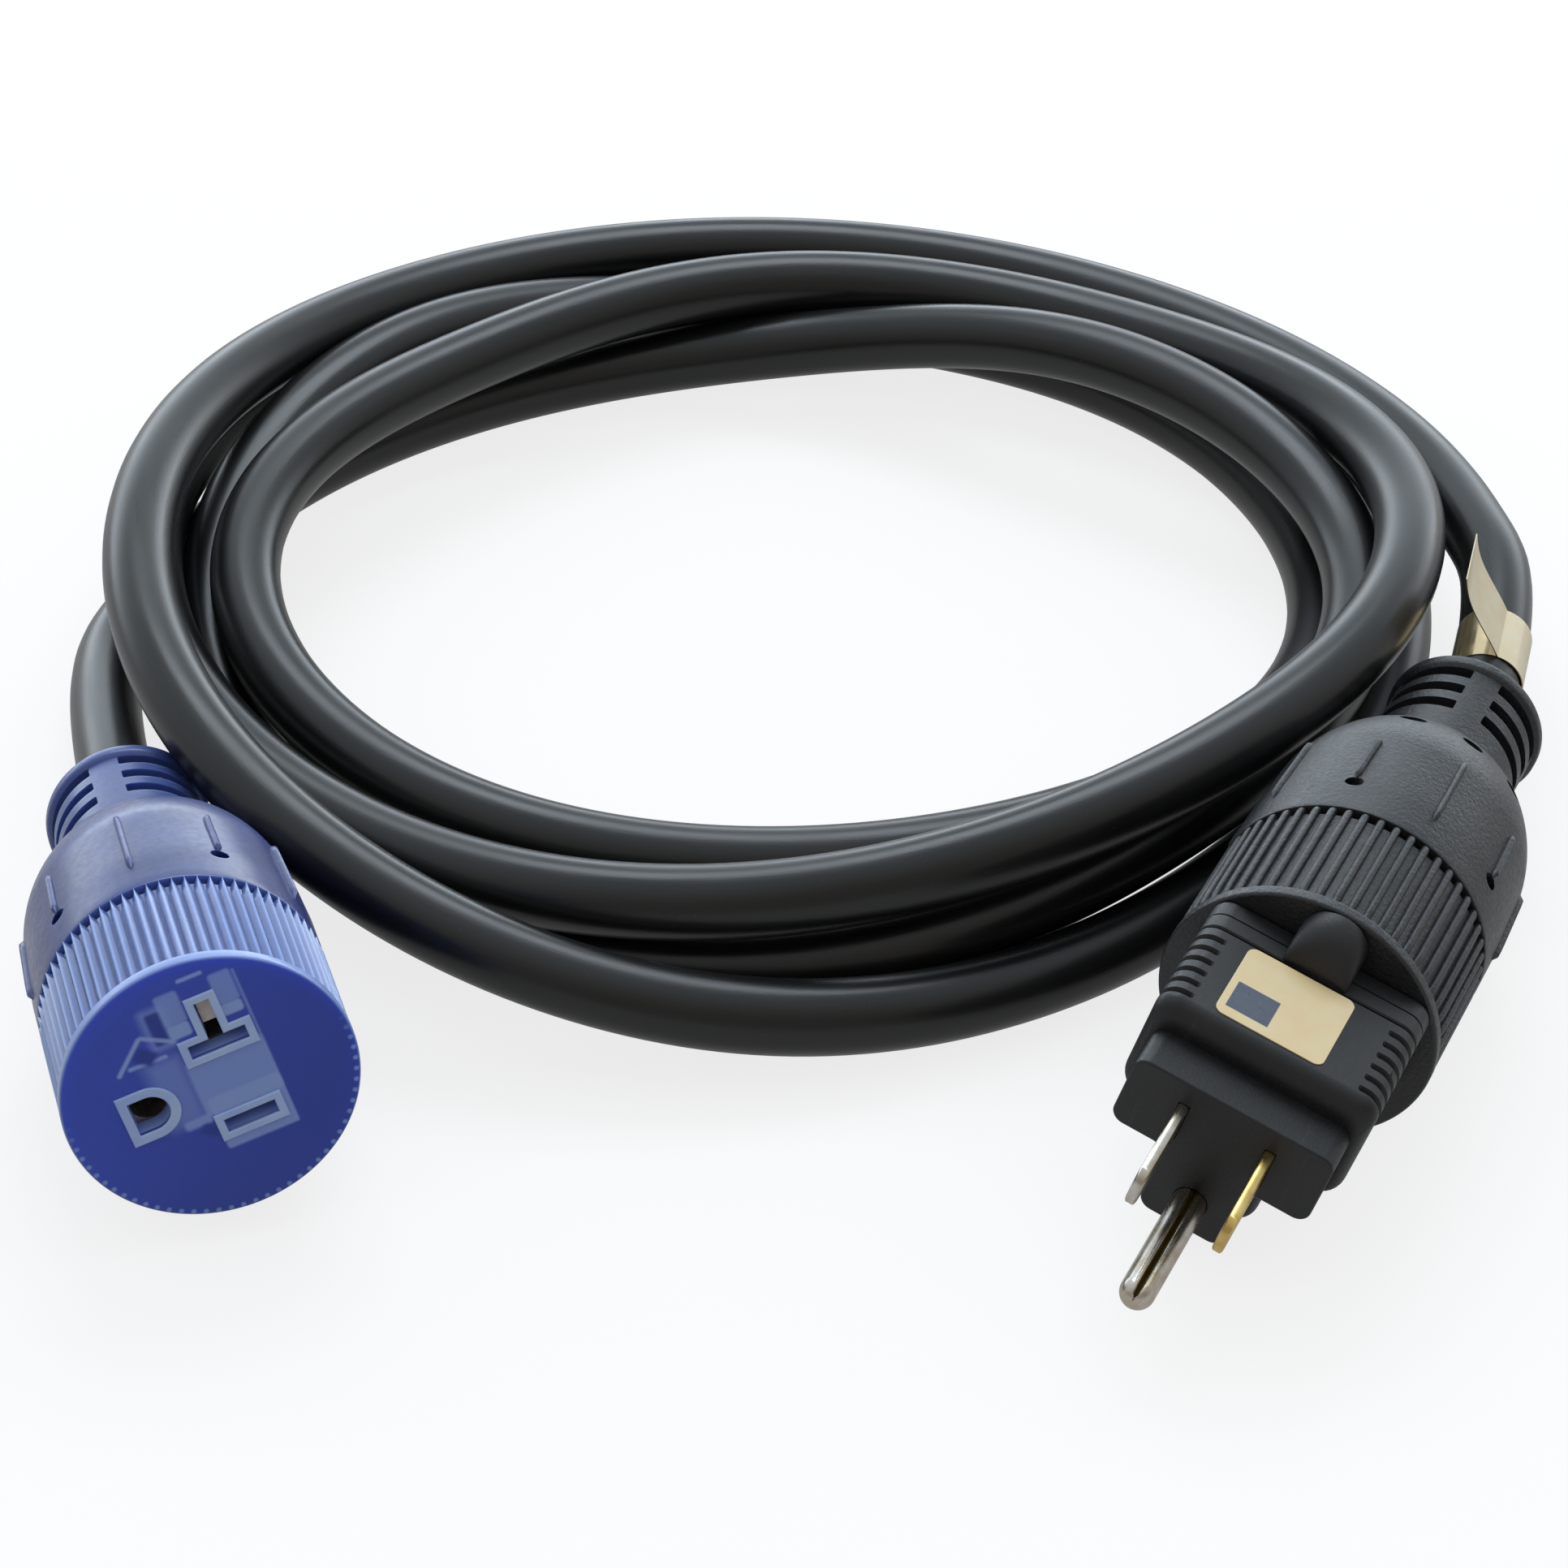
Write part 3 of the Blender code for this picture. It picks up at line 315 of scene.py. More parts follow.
def link(obj):
    """Put an object in the scene."""
    bpy.context.scene.collection.objects.link(obj)
    return obj


def shade(mesh):
    """Smooth faces that meet in sharp edges above one angle."""
    mesh.shade_smooth()
    mesh.set_sharp_from_angle(angle=math.radians(SHARP_DEGREES))


def piece_from(name, builder, place=None, finish=None):
    """A piece from a bmesh: closed, facing out, and with its place in its mesh."""
    bmesh.ops.remove_doubles(builder, verts=builder.verts, dist=MERGE)
    bmesh.ops.recalc_face_normals(builder, faces=builder.faces)
    mesh = bpy.data.meshes.new(name)
    builder.to_mesh(mesh)
    builder.free()
    if place:
        mesh.transform(place)
    shade(mesh)
    if finish:
        mesh.materials.append(finish)
    return link(bpy.data.objects.new(name, mesh))


def settle(obj):
    """Turn a piece with modifiers into a plain mesh."""
    evaluated = obj.evaluated_get(bpy.context.evaluated_depsgraph_get())
    mesh = bpy.data.meshes.new_from_object(evaluated)
    spent = obj.data
    obj.modifiers.clear()
    obj.data = mesh
    bpy.data.meshes.remove(spent)
    mesh.name = obj.name
    return obj


def carve(obj, cutters, operation="DIFFERENCE"):
    """Cut pieces out of another, or join them to it, and use them up."""
    for cutter in cutters:
        modifier = obj.modifiers.new("Carve", "BOOLEAN")
        modifier.operation = operation
        modifier.solver = "EXACT"
        modifier.object = cutter
    settle(obj)
    for cutter in cutters:
        bpy.data.objects.remove(cutter, do_unlink=True)
    shade(obj.data)
    return obj


def even_normals(obj):
    """Let large faces rule the shading, so that cuts leave no dents in it."""
    modifier = obj.modifiers.new("Normals", "WEIGHTED_NORMAL")
    modifier.keep_sharp = True
    return settle(obj)


def add_turned(builder, profile, segments):
    """Revolve (radius, z) points round Z. Points on the axis become one vertex."""
    rings = []
    for radius, z in profile:
        if radius < MERGE:
            rings.append([builder.verts.new((0, 0, z))])
            continue
        angles = [math.tau * k / segments for k in range(segments)]
        rings.append([builder.verts.new((radius * math.cos(a), radius * math.sin(a), z)) for a in angles])
    if profile[0][0] >= MERGE:
        rings.append(rings[0])
    for ring, following in zip(rings, rings[1:]):
        for k in range(segments):
            corners = [ring[k % len(ring)], ring[(k + 1) % len(ring)]]
            corners += [following[(k + 1) % len(following)], following[k % len(following)]]
            corners = list(dict.fromkeys(corners))
            if len(corners) > 2:
                builder.faces.new(corners)


def turned(name, profile, segments, place, finish, centre=(0, 0)):
    """A solid turned from a profile."""
    builder = bmesh.new()
    add_turned(builder, profile, segments)
    bmesh.ops.translate(builder, verts=builder.verts, vec=(*centre, 0))
    return piece_from(name, builder, place, finish)


def add_loft(builder, rings):
    """Join rings of points of equal count, with both ends closed."""
    rings = [[builder.verts.new(point) for point in ring] for ring in rings]
    size = len(rings[0])
    for ring, following in zip(rings, rings[1:]):
        for k in range(size):
            step = (k + 1) % size
            builder.faces.new((ring[k], ring[step], following[step], following[k]))
    builder.faces.new(rings[0])
    builder.faces.new(rings[-1])


def loft(name, sections, place=None, finish=None):
    """A solid through (z, outline) sections."""
    builder = bmesh.new()
    add_loft(builder, [[(x, y, z) for x, y in outline] for z, outline in sections])
    return piece_from(name, builder, place, finish)


def arc(centre, across, up, start, stop, steps):
    """Points along part of an ellipse with these half sizes, from one angle to another."""
    return [(centre[0] + across * math.cos(a), centre[1] + up * math.sin(a))
            for a in np.linspace(start, stop, steps + 1)]


def rectangle(width, height, centre=(0, 0)):
    """The corners of a rectangle round its centre."""
    x, y = centre
    return [(x + sx * width / 2, y + sy * height / 2) for sx, sy in ((-1, -1), (1, -1), (1, 1), (-1, 1))]


def rounded(corners, radius, steps=8):
    """An outline whose corners, convex or not, are rounded to one radius."""
    outline = []
    for k, corner in enumerate(corners):
        here = Vector(corner)
        before = (Vector(corners[k - 1]) - here).normalized()
        after = (Vector(corners[(k + 1) % len(corners)]) - here).normalized()
        middle = here + (before + after) * radius
        for turn in np.linspace(0, QUARTER, steps + 1):
            outline.append(tuple(middle - after * radius * math.cos(turn) - before * radius * math.sin(turn)))
    return outline


def box(name, size, centre, z_range, place, finish=None):
    """A block with this size across, between two heights."""
    outline = rectangle(*size, centre)
    return loft(name, [(z, outline) for z in z_range], place, finish)


def round_hole(name, radius, centre, z_range, place, segments=40):
    """A cutter for a round hole between two heights."""
    low, high = z_range
    profile = [(0, high), (radius, high), (radius, low), (0, low)]
    return turned(name, profile, segments, place, None, centre)


def eased(part):
    """A share that starts and ends slowly."""
    return part * part * (3 - 2 * part)


# ---- shader groups and finishes ----


def connect(tree, made, inputs):
    """Give each named input of a node its link or its value."""
    for key, value in inputs.items():
        if isinstance(value, bpy.types.NodeSocket):
            tree.links.new(value, made.inputs[key])
        else:
            made.inputs[key].default_value = value


def node(tree, kind, inputs, **settings):
    """A node with its settings and its inputs."""
    made = tree.nodes.new(kind)
    for key, value in settings.items():
        setattr(made, key, value)
    connect(tree, made, inputs)
    return made


def source(tree, kind, output, **settings):
    """One output of a node that has no inputs."""
    return node(tree, kind, {}, **settings).outputs[output]


def maths(tree, operation, *values):
    """The result of an operation on values."""
    return node(tree, "ShaderNodeMath", dict(enumerate(values)), operation=operation).outputs[0]


def times(tree, first, second):
    """The product of two values."""
    return maths(tree, "MULTIPLY", first, second)


def vector_maths(tree, operation, *values, output=0):
    """The result of an operation on vectors."""
    made = node(tree, "ShaderNodeVectorMath", dict(enumerate(values)), operation=operation)
    return made.outputs[output]


def split(tree, vector):
    """The X, Y and Z of a vector."""
    return node(tree, "ShaderNodeSeparateXYZ", {0: vector}).outputs


def mapped(tree, vector, kind="POINT", **changes):
    """A vector with a change of location, rotation or scale."""
    inputs = {key.title(): value for key, value in changes.items()}
    return node(tree, "ShaderNodeMapping", {"Vector": vector, **inputs}, vector_type=kind).outputs[0]


def ramp(tree, value, low, high, to_low=0.0, to_high=1.0):
    """A value smoothly mapped from one range to another."""
    inputs = {"Value": value, "From Min": low, "From Max": high, "To Min": to_low, "To Max": to_high}
    return node(tree, "ShaderNodeMapRange", inputs, interpolation_type="SMOOTHSTEP").outputs["Result"]


def mixed(tree, factor, first, second, amount=1.0):
    """Two colours mixed by a factor, or by some amount of it."""
    if amount != 1.0:
        factor = times(tree, factor, amount)
    first, second = (value if isinstance(value, bpy.types.NodeSocket) else (*value, 1.0)
                     for value in (first, second))
    return node(tree, "ShaderNodeMix", {0: factor, 6: first, 7: second}, data_type="RGBA").outputs[2]


def group(name, kind, inputs, outputs):
    """An empty node group with named sockets, as (tree, its inputs by name, its output node)."""
    tree = bpy.data.node_groups.new(name, kind)
    for in_out, sockets in (("INPUT", inputs), ("OUTPUT", outputs)):
        for socket, socket_type in sockets.items():
            tree.interface.new_socket(socket, in_out=in_out, socket_type="NodeSocket" + socket_type)
    return tree, tree.nodes.new("NodeGroupInput").outputs, tree.nodes.new("NodeGroupOutput")


def grain_group(name):
    """Fine moulded grain: its height, and a slow tone that varies over a few grains."""
    sockets = {"Vector": "Vector", "Size": "Float", "Tone Size": "Float", "Stretch": "Float"}
    tree, given, out = group(name, "ShaderNodeTree", sockets, {"Height": "Float", "Tone": "Float"})
    fine = node(tree, "ShaderNodeTexNoise", {
        "Vector": given["Vector"], "Detail": 3.0, "Roughness": 0.6,
        "Scale": maths(tree, "DIVIDE", 1.0, given["Size"]), "Distortion": given["Stretch"]})
    slow = node(tree, "ShaderNodeTexNoise", {
        "Vector": given["Vector"], "Detail": 4.0, "Scale": maths(tree, "DIVIDE", 1.0, given["Tone Size"])})
    connect(tree, out, {"Height": fine.outputs["Fac"], "Tone": ramp(tree, slow.outputs["Fac"], 0.3, 0.7)})
    return tree


def scuff_group(name):
    """Thin marks and dust left by handling."""
    sockets = {"Vector": "Vector", "Size": "Float", "Amount": "Float"}
    tree, given, out = group(name, "ShaderNodeTree", sockets, {"Marks": "Float", "Dust": "Float"})
    stretched = mapped(tree, given["Vector"], scale=(1.0, 0.12, 0.35), rotation=(0.4, 0.2, 0.9))
    scale = maths(tree, "DIVIDE", 1.0, given["Size"])
    lines = node(tree, "ShaderNodeTexNoise", {
        "Vector": stretched, "Scale": scale, "Detail": 8.0, "Roughness": 0.7})
    specks = node(tree, "ShaderNodeTexVoronoi", {"Vector": given["Vector"], "Scale": times(tree, scale, 2.5)})
    connect(tree, out, {
        "Marks": times(tree, ramp(tree, lines.outputs["Fac"], 0.56, 0.7), given["Amount"]),
        "Dust": times(tree, ramp(tree, specks.outputs["Distance"], 0.09, 0.02), given["Amount"])})
    return tree


def plate_group(name):
    """A rounded rectangle in the XY plane: one inside, nought outside, with a soft edge."""
    sockets = {"Vector": "Vector", "Half Size": "Vector", "Corner": "Float", "Softness": "Float"}
    tree, given, out = group(name, "ShaderNodeTree", sockets, {"Mask": "Float"})
    flat = vector_maths(tree, "MULTIPLY", given["Vector"], (1, 1, 0))
    corner = node(tree, "ShaderNodeCombineXYZ", {"X": given["Corner"], "Y": given["Corner"]}).outputs[0]
    past = vector_maths(tree, "SUBTRACT", vector_maths(tree, "ABSOLUTE", flat), given["Half Size"])
    beyond = vector_maths(tree, "ADD", past, corner)
    outside = vector_maths(tree, "MAXIMUM", beyond, (0, 0, 0))
    reach = vector_maths(tree, "LENGTH", outside, output="Value")
    sides = split(tree, beyond)
    inside = maths(tree, "MINIMUM", maths(tree, "MAXIMUM", sides["X"], sides["Y"]), 0.0)
    distance = maths(tree, "SUBTRACT", maths(tree, "ADD", reach, inside), given["Corner"])
    less = times(tree, given["Softness"], -1.0)
    connect(tree, out, {"Mask": ramp(tree, distance, given["Softness"], less)})
    return tree


SHADER_GROUPS = {"Moulded Grain": grain_group, "Handling Marks": scuff_group, "Rounded Plate": plate_group}


def use(tree, name, inputs):
    """The outputs of a shared group, which is built when it is first wanted."""
    shared = bpy.data.node_groups.get(name) or SHADER_GROUPS[name](name)
    return node(tree, "ShaderNodeGroup", inputs, node_tree=shared).outputs


def grain_of(tree, spot, size, tone=8.0, stretch=0.2):
    """The height and the tone of the shared grain at a scale."""
    inputs = {"Vector": spot, "Size": size, "Tone Size": tone, "Stretch": stretch}
    return use(tree, "Moulded Grain", inputs)


def plate(tree, vector, half, corner, softness):
    """The mask of the shared plate."""
    inputs = {"Vector": vector, "Half Size": (*half, 0), "Corner": corner, "Softness": softness}
    return use(tree, "Rounded Plate", inputs)["Mask"]


def finish_tree(name, roughness, **plain):
    """A Principled material and its plain values, as (material, tree, shader)."""
    material = bpy.data.materials.new(name)
    material.use_nodes = True
    tree = material.node_tree
    shader = tree.nodes["Principled BSDF"]
    shader.inputs["Roughness"].default_value = roughness
    for key, value in plain.items():
        shader.inputs[key.replace("_", " ").title().replace("Ior", "IOR")].default_value = value
    return material, tree, shader


def scaled(tint, share_of):
    """A colour made darker or lighter."""
    return tuple(value * share_of for value in tint)


def in_mm(tree, place):
    """Object coordinates turned into an end's own frame, in millimetres."""
    back = place.inverted()
    return mapped(tree, source(tree, "ShaderNodeTexCoord", "Object"), location=back.translation / MM,
                  rotation=back.to_euler(), scale=(1 / MM,) * 3)


def bumped(tree, height, strength, distance):
    inputs = {"Height": height, "Strength": strength, "Distance": distance}
    return node(tree, "ShaderNodeBump", inputs).outputs[0]


def moulded(name, tint, roughness, place=Matrix(), size=0.4, depth=0.03 * MM, marks=0.3, lift=1.5):
    """Moulded plastic with fine grain, a slow change of tone, and light marks."""
    material, tree, shader = finish_tree(name, roughness)
    spot = in_mm(tree, place)
    grain = grain_of(tree, spot, size)
    scuffs = use(tree, "Handling Marks", {"Vector": spot, "Size": 3.0, "Amount": marks})
    light = tuple(min(1.0, value * lift + 0.002) for value in tint)
    dusty = tuple(value * 0.5 + 0.12 for value in light)
    worn = mixed(tree, scuffs["Marks"], mixed(tree, grain["Tone"], tint, light), dusty, 0.25)
    gloss = ramp(tree, grain["Height"], 0.3, 0.7, roughness - 0.06, roughness + 0.06)
    connect(tree, shader, {
        "Base Color": mixed(tree, scuffs["Dust"], worn, dusty, 0.5),
        "Roughness": maths(tree, "SUBTRACT", gloss, times(tree, scuffs["Marks"], 0.1)),
        "Normal": bumped(tree, grain["Height"], 1.0, depth)})
    return material


def plated(name, tint, roughness, place):
    """Stamped metal: fine drawn lines along the blade and duller patches."""
    material, tree, shader = finish_tree(name, roughness, metallic=1.0)
    spot = in_mm(tree, place)
    drawn = grain_of(tree, mapped(tree, spot, scale=(5, 5, 0.2)), 1.0, 5.0)
    wear = grain_of(tree, spot, 0.5, 2.5)
    worn = (tint[0] * 0.78, tint[1] * 0.7, tint[2] * 0.58)
    connect(tree, shader, {
        "Base Color": mixed(tree, wear["Tone"], tint, worn),
        "Roughness": ramp(tree, drawn["Height"], 0.3, 0.7, roughness - 0.06, roughness + 0.1),
        "Normal": bumped(tree, drawn["Height"], 0.3, 0.012 * MM)})
    return material


# Painted glow (+) and painted shade (-) in the shapes of the inner block behind the connector's face,
# standing in for light through the plastic:
# middle x and y, half width and half height in mm, turn in degrees, softness, and strength
FACE_SHAPES = (
    (-1.5, -4.5, 5.5, 2.5, 0, 1.5, 0.22), (-0.5, 3.4, 4.5, 5.4, 0, 0.4, 0.34),
    (5.75, 3.8, 4.25, 5.0, 0, 0.3, 0.36), (2.75, 3.8, 1.25, 5.0, 0, 0.3, 0.2),
    (-3.0, 8.7, 13.0, 0.15, 0, 0.25, 0.3), (-13.8, -0.7, 2.5, 1.6, 0, 0.3, 0.3),
    (-13.9, 6.8, 2.5, 1.5, 0, 0.3, 0.3), (-10.2, -0.7, 1.1, 1.5, 0, 0.25, 0.5),
    (-10.5, 6.7, 0.9, 1.5, 0, 0.25, 0.5), (-17.3, 3.2, 0.3, 1.8, 0, 0.2, 0.4),
    (-11.7, -3.3, 3.3, 1.7, 0, 0.8, 0.25), (-11.7, -3.3, 2.6, 1.0, 0, 0.4, -0.8),
    (-9.2, -8.2, 3.2, 0.3, 135, 0.25, 0.5), (-10.2, -3.9, 2.5, 0.3, 58, 0.25, 0.4),
    (-7.4, -6.2, 2.7, 0.3, 88, 0.25, 0.4), (-8.4, -6.2, 1.4, 1.1, 45, 0.5, -0.5),
    (4.25, -3.4, 0.7, 1.9, 0, 0.4, 0.35), (6.1, -2.4, 1.2, 0.8, 45, 0.5, -0.5),
)
FACE_SHAPE_GAIN = 2.3
WIDEST_CORNER = 0.5


def face_painted_light(tree, spot, base, colours):
    """The face's colour: deep blue, with painted glow and painted shade in the shapes of the inner block
    behind it.
    """
    painted_shade = scaled(colours.blue_deep, 0.75)
    for x, y, half_x, half_y, degrees, softness, strength in FACE_SHAPES:
        own = mapped(tree, spot, "TEXTURE", location=(x, y, 0), rotation=(0, 0, math.radians(degrees)))
        mask = plate(tree, own, (half_x, half_y), min(half_x, half_y, WIDEST_CORNER), softness)
        weight = times(tree, mask, min(1.0, abs(strength) * FACE_SHAPE_GAIN))
        base = mixed(tree, weight, base, colours.glow if strength > 0 else painted_shade)
    return base


def painted_bead_highlights(tree, parts, radius, end):
    """Painted highlights: light beads at the face's lower edge, where the ridges end behind it."""
    angle = maths(tree, "ARCTAN2", parts["Y"], parts["X"])
    place = maths(tree, "FRACT", times(tree, angle, end.blue_ridges / math.tau))
    pitch = math.tau * end.radius / MM / end.blue_ridges
    sideways = times(tree, maths(tree, "SUBTRACT", place, 0.5), pitch)
    outward = maths(tree, "SUBTRACT", radius, end.radius / MM - 0.65)
    squares = maths(tree, "ADD", times(tree, sideways, sideways), times(tree, outward, outward))
    bead = ramp(tree, maths(tree, "SQRT", squares), 0.5, 0.2)
    return times(tree, bead, ramp(tree, parts["X"], -4.0, 3.0))


def see_through_blue(name, colours, end):
    """The connector's tinted plastic, with painted glow and painted shade where the inner block lies behind
    the face, and painted glow on its thin parts.
    """
    material, tree, shader = finish_tree(name, 0.4, subsurface_weight=0.5, subsurface_scale=4 * MM,
                                         subsurface_radius=(0.4, 0.6, 1.0), coat_roughness=0.22,
                                         specular_ior_level=0.35)
    blue, deep, painted_glow = colours.blue, colours.blue_deep, colours.painted_glow_blue
    rim = end.radius / MM
    wall = end.wall / MM
    neck = (end.body + end.shoulder) / MM
    grip_back = (end.rim + end.grip) / MM
    spot = in_mm(tree, CONNECTOR)
    parts = split(tree, spot)
    flat = node(tree, "ShaderNodeCombineXYZ", {"X": parts["X"], "Y": parts["Y"]}).outputs[0]
    radius = vector_maths(tree, "LENGTH", flat, output="Value")
    grain = grain_of(tree, spot, 1.1, 9.0)

    # Outside: painted glow, paler on the thin neck, on the grip and at the tips of its ridges, for light
    # through the thin plastic
    on_grip = ramp(tree, parts["Z"], -grip_back - 0.3, -grip_back)
    tips = times(tree, ramp(tree, radius, rim - 0.35, rim - 0.05), on_grip)
    body = mixed(tree, grain["Tone"], blue, scaled(blue, 0.75))
    for mask, amount in ((ramp(tree, parts["Z"], -neck + 2.5, -neck), 0.12), (on_grip, 0.28), (tips, 0.5)):
        body = mixed(tree, mask, body, painted_glow, amount)

    # Face: deep blue with painted light, lighter towards one side and darker towards the other; the painted
    # glow and painted shade of the inner shapes; painted highlights at its lower edge; and painted light on
    # the walls of its slots
    # painted light: the face is lighter towards one side and darker towards the other
    across = ramp(tree, maths(tree, "ADD", parts["X"], parts["Y"]), -20, 22)
    face = face_painted_light(tree, spot, mixed(tree, across, scaled(deep, 1.15), scaled(deep, 0.9)), colours)
    # painted highlights of the ridge ends at the face's lower edge
    face = mixed(tree, painted_bead_highlights(tree, parts, radius, end), face, painted_glow, 0.8)
    # painted light on the slot walls and inside the face, where little light reaches
    inside = times(tree, ramp(tree, parts["Z"], -0.3, -0.6), ramp(tree, radius, 17.5, 17.0))
    face = mixed(tree, inside, face, colours.glow)
    flat_part = times(tree, ramp(tree, radius, rim - 0.15, rim - 0.4),
                      ramp(tree, parts["Z"], -wall - 0.5, -wall))
    on_face = times(tree, maths(tree, "MAXIMUM", ramp(tree, parts["Z"], -0.45, -0.25), inside), flat_part)
    connect(tree, shader, {
        "Base Color": mixed(tree, on_face, body, face),
        "Roughness": ramp(tree, grain["Height"], 0.3, 0.7, 0.34, 0.46),
        "Coat Weight": times(tree, maths(tree, "SUBTRACT", 1.0, on_face), 0.5),
        "Normal": bumped(tree, grain["Height"], 0.7, 0.05 * MM)})
    return material


def jacket_finish(name, tint):
    """Satin jacket: fine lines along the cord, slow changes of gloss and a little dust."""
    material, tree, shader = finish_tree(name, 0.3, specular_ior_level=0.5)
    spot = source(tree, "ShaderNodeUVMap", 0, uv_map="Along")
    lines = grain_of(tree, mapped(tree, spot, scale=(1 / MM, 0.12 / MM, 1)), 0.5, 6.0)
    plain = mapped(tree, spot, scale=(1 / MM, 1 / MM, 1))
    scuffs = use(tree, "Handling Marks", {"Vector": plain, "Size": 6.0, "Amount": 0.5})
    light = tuple(value * 1.8 + 0.001 for value in tint)
    gloss = ramp(tree, lines["Tone"], 0.0, 1.0, 0.27, 0.35)
    connect(tree, shader, {
        "Base Color": mixed(tree, scuffs["Dust"], mixed(tree, lines["Tone"], tint, light), (0.15,) * 3, 0.25),
        "Roughness": maths(tree, "SUBTRACT", gloss, times(tree, scuffs["Marks"], 0.08)),
        "Normal": bumped(tree, lines["Height"], 0.5, 0.03 * MM)})
    return material


def film_finish(name, tint, roughness=0.25, metallic=0.0, hump_reflection=()):
    """Film with a faint wave in its colour, and on the label the dark painted reflection of the hump."""
    material, tree, shader = finish_tree(name, roughness, metallic=metallic, coat_weight=0.4,
                                         coat_roughness=0.12)
    has_hump_reflection = len(hump_reflection) > 0
    spot = in_mm(tree, ADAPTER if has_hump_reflection else Matrix())
    grain = grain_of(tree, spot, 0.6, 3.5, 1.5)
    surface = mixed(tree, grain["Tone"], tint, (tint[0], tint[1] * 0.93, tint[2] * 0.86))
    # the painted reflection of the hump on the label
    if has_hump_reflection:
        x, y = REFLECTION_CENTRE
        own = mapped(tree, spot, rotation=(math.radians(90), 0, 0), location=(-x, -y, 0))
        reflection_speckle = mixed(tree, grain["Height"], hump_reflection, scaled(hump_reflection, 2.4))
        surface = mixed(tree, plate(tree, own, REFLECTION_HALF, 0.1, 0.06), surface, reflection_speckle)
    connect(tree, shader, {
        "Base Color": surface,
        "Roughness": ramp(tree, grain["Tone"], 0.0, 1.0, roughness - 0.05, roughness + 0.1),
        "Normal": bumped(tree, grain["Height"], 0.3, 0.01 * MM)})
    return material


def material_named(name, settings):
    """One of the finishes, made when it is first wanted."""
    if name in bpy.data.materials and bpy.data.materials[name].get("power_cord"):
        return bpy.data.materials[name]
    of = settings.colours
    makers = {
        "blue_pvc": lambda: see_through_blue(name, of, settings.end),
        "blue_trim": lambda: moulded(name, of.trim, 0.4, CONNECTOR, lift=1.2, marks=0.1),
        "black_pvc": lambda: moulded(name, of.black, 0.4, PLUG, 0.6, 0.13 * MM, lift=1.25),
        "adapter_plastic": lambda: moulded(name, of.adapter, 0.48, ADAPTER, 0.3, lift=1.3),
        "cord_jacket": lambda: jacket_finish(name, of.jacket),
        "label_film": lambda: film_finish(name, of.film, hump_reflection=of.hump_reflection),
        "tag_film": lambda: film_finish(name, of.film, 0.16, 0.85),
        "tag_back": lambda: film_finish(name, of.film_back, 0.5),
        "nickel_blade": lambda: plated(name, of.nickel, 0.26, ADAPTER),
        "contact_brass": lambda: plated(name, of.brass, 0.3, ADAPTER),
        # painted shade in the pin's slit
        "pin_slit_shade": lambda: plated(name, scaled(of.brass, 0.25), 0.6, ADAPTER),
        "connector_brass": lambda: plated(name, of.lip, 0.5, CONNECTOR),
        "inner_plastic": lambda: moulded(name, of.inner, 0.5, CONNECTOR),
        "wire_black": lambda: moulded(name, (0.02, 0.02, 0.02), 0.45, size=0.8),
        "wire_white": lambda: moulded(name, (0.75, 0.75, 0.72), 0.45, size=0.8, lift=1.1),
        "wire_green": lambda: moulded(name, (0.03, 0.26, 0.07), 0.45, size=0.8),
    }
    material = makers[name]()
    material["power_cord"] = True
    return material


# ---- the cord and its tag ----


def natural_curve(values):
    """Second derivatives of the natural cubic through evenly spaced values."""
    size = len(values)
    system = np.eye(size)
    target = np.zeros(size)
    for k in range(1, size - 1):
        system[k, k - 1 : k + 2] = (1, 4, 1)
        target[k] = 6 * (values[k - 1] - 2 * values[k] + values[k + 1])
    return np.linalg.solve(system, target)


def smooth_at(values, bend, place):
    """Value of that curve at a place counted in steps from the first value."""
    k = min(int(place), len(values) - 2)
    v = place - k
    u = 1 - v
    curve = u * values[k] + v * values[k + 1]
    return curve + ((u**3 - u) * bend[k] + (v**3 - v) * bend[k + 1]) / 6


def coil_points():
    """The cord's middle round the coil, on a smooth curve through the knots."""
    knots = np.array([knot for lap in COIL_LAPS for knot in lap], float).T
    bends = [natural_curve(values) for values in knots]
    x, y = COIL_CENTRE
    points = []
    for degrees in range(0, KNOT_DEGREES * (len(knots[0]) - 1) + 1, COIL_STEP_DEGREES):
        radius, height = (smooth_at(values, bend, degrees / KNOT_DEGREES) * MM
                          for values, bend in zip(knots, bends))
        angle = math.radians(180 - degrees)
        points.append(Vector((x + radius * math.cos(angle), y + radius * math.sin(angle), height)))
    return points


def lead_points(place, neck_length, coil_end, coil_direction, inside):
    """The free run from inside a neck to the coil's end."""
    direction = -place.col[2].to_3d().normalized()
    exit_point = place.translation + direction * neck_length
    start = exit_point + direction * LEAD_STRAIGHT
    finish = coil_end + coil_direction * LEAD_STRAIGHT
    reach = (finish - start).length * LEAD_STIFFNESS
    points = [exit_point - direction * inside, exit_point]
    for k in range(LEAD_STEPS + 1):
        part = k / LEAD_STEPS
        leave = reach * part * (1 - part) ** 2
        arrive = reach * part * part * (1 - part)
        points.append(start.lerp(finish, eased(part)) + direction * leave + coil_direction * arrive)
    return points


def resample(points, rounds=6):
    """Evenly spaced points along a path, with small kinks smoothed out."""
    spots = np.array([tuple(point) for point in points])
    along = np.concatenate([[0], np.cumsum(np.linalg.norm(np.diff(spots, axis=0), axis=1))])
    even = np.linspace(0, along[-1], int(along[-1] / PATH_STEP) + 1)
    spots = np.stack([np.interp(even, along, spots[:, axis]) for axis in range(3)], axis=1)
    for _ in range(rounds):
        spots[1:-1] = (spots[:-2] + 2 * spots[1:-1] + spots[2:]) / 4
    return [Vector(spot) for spot in spots]


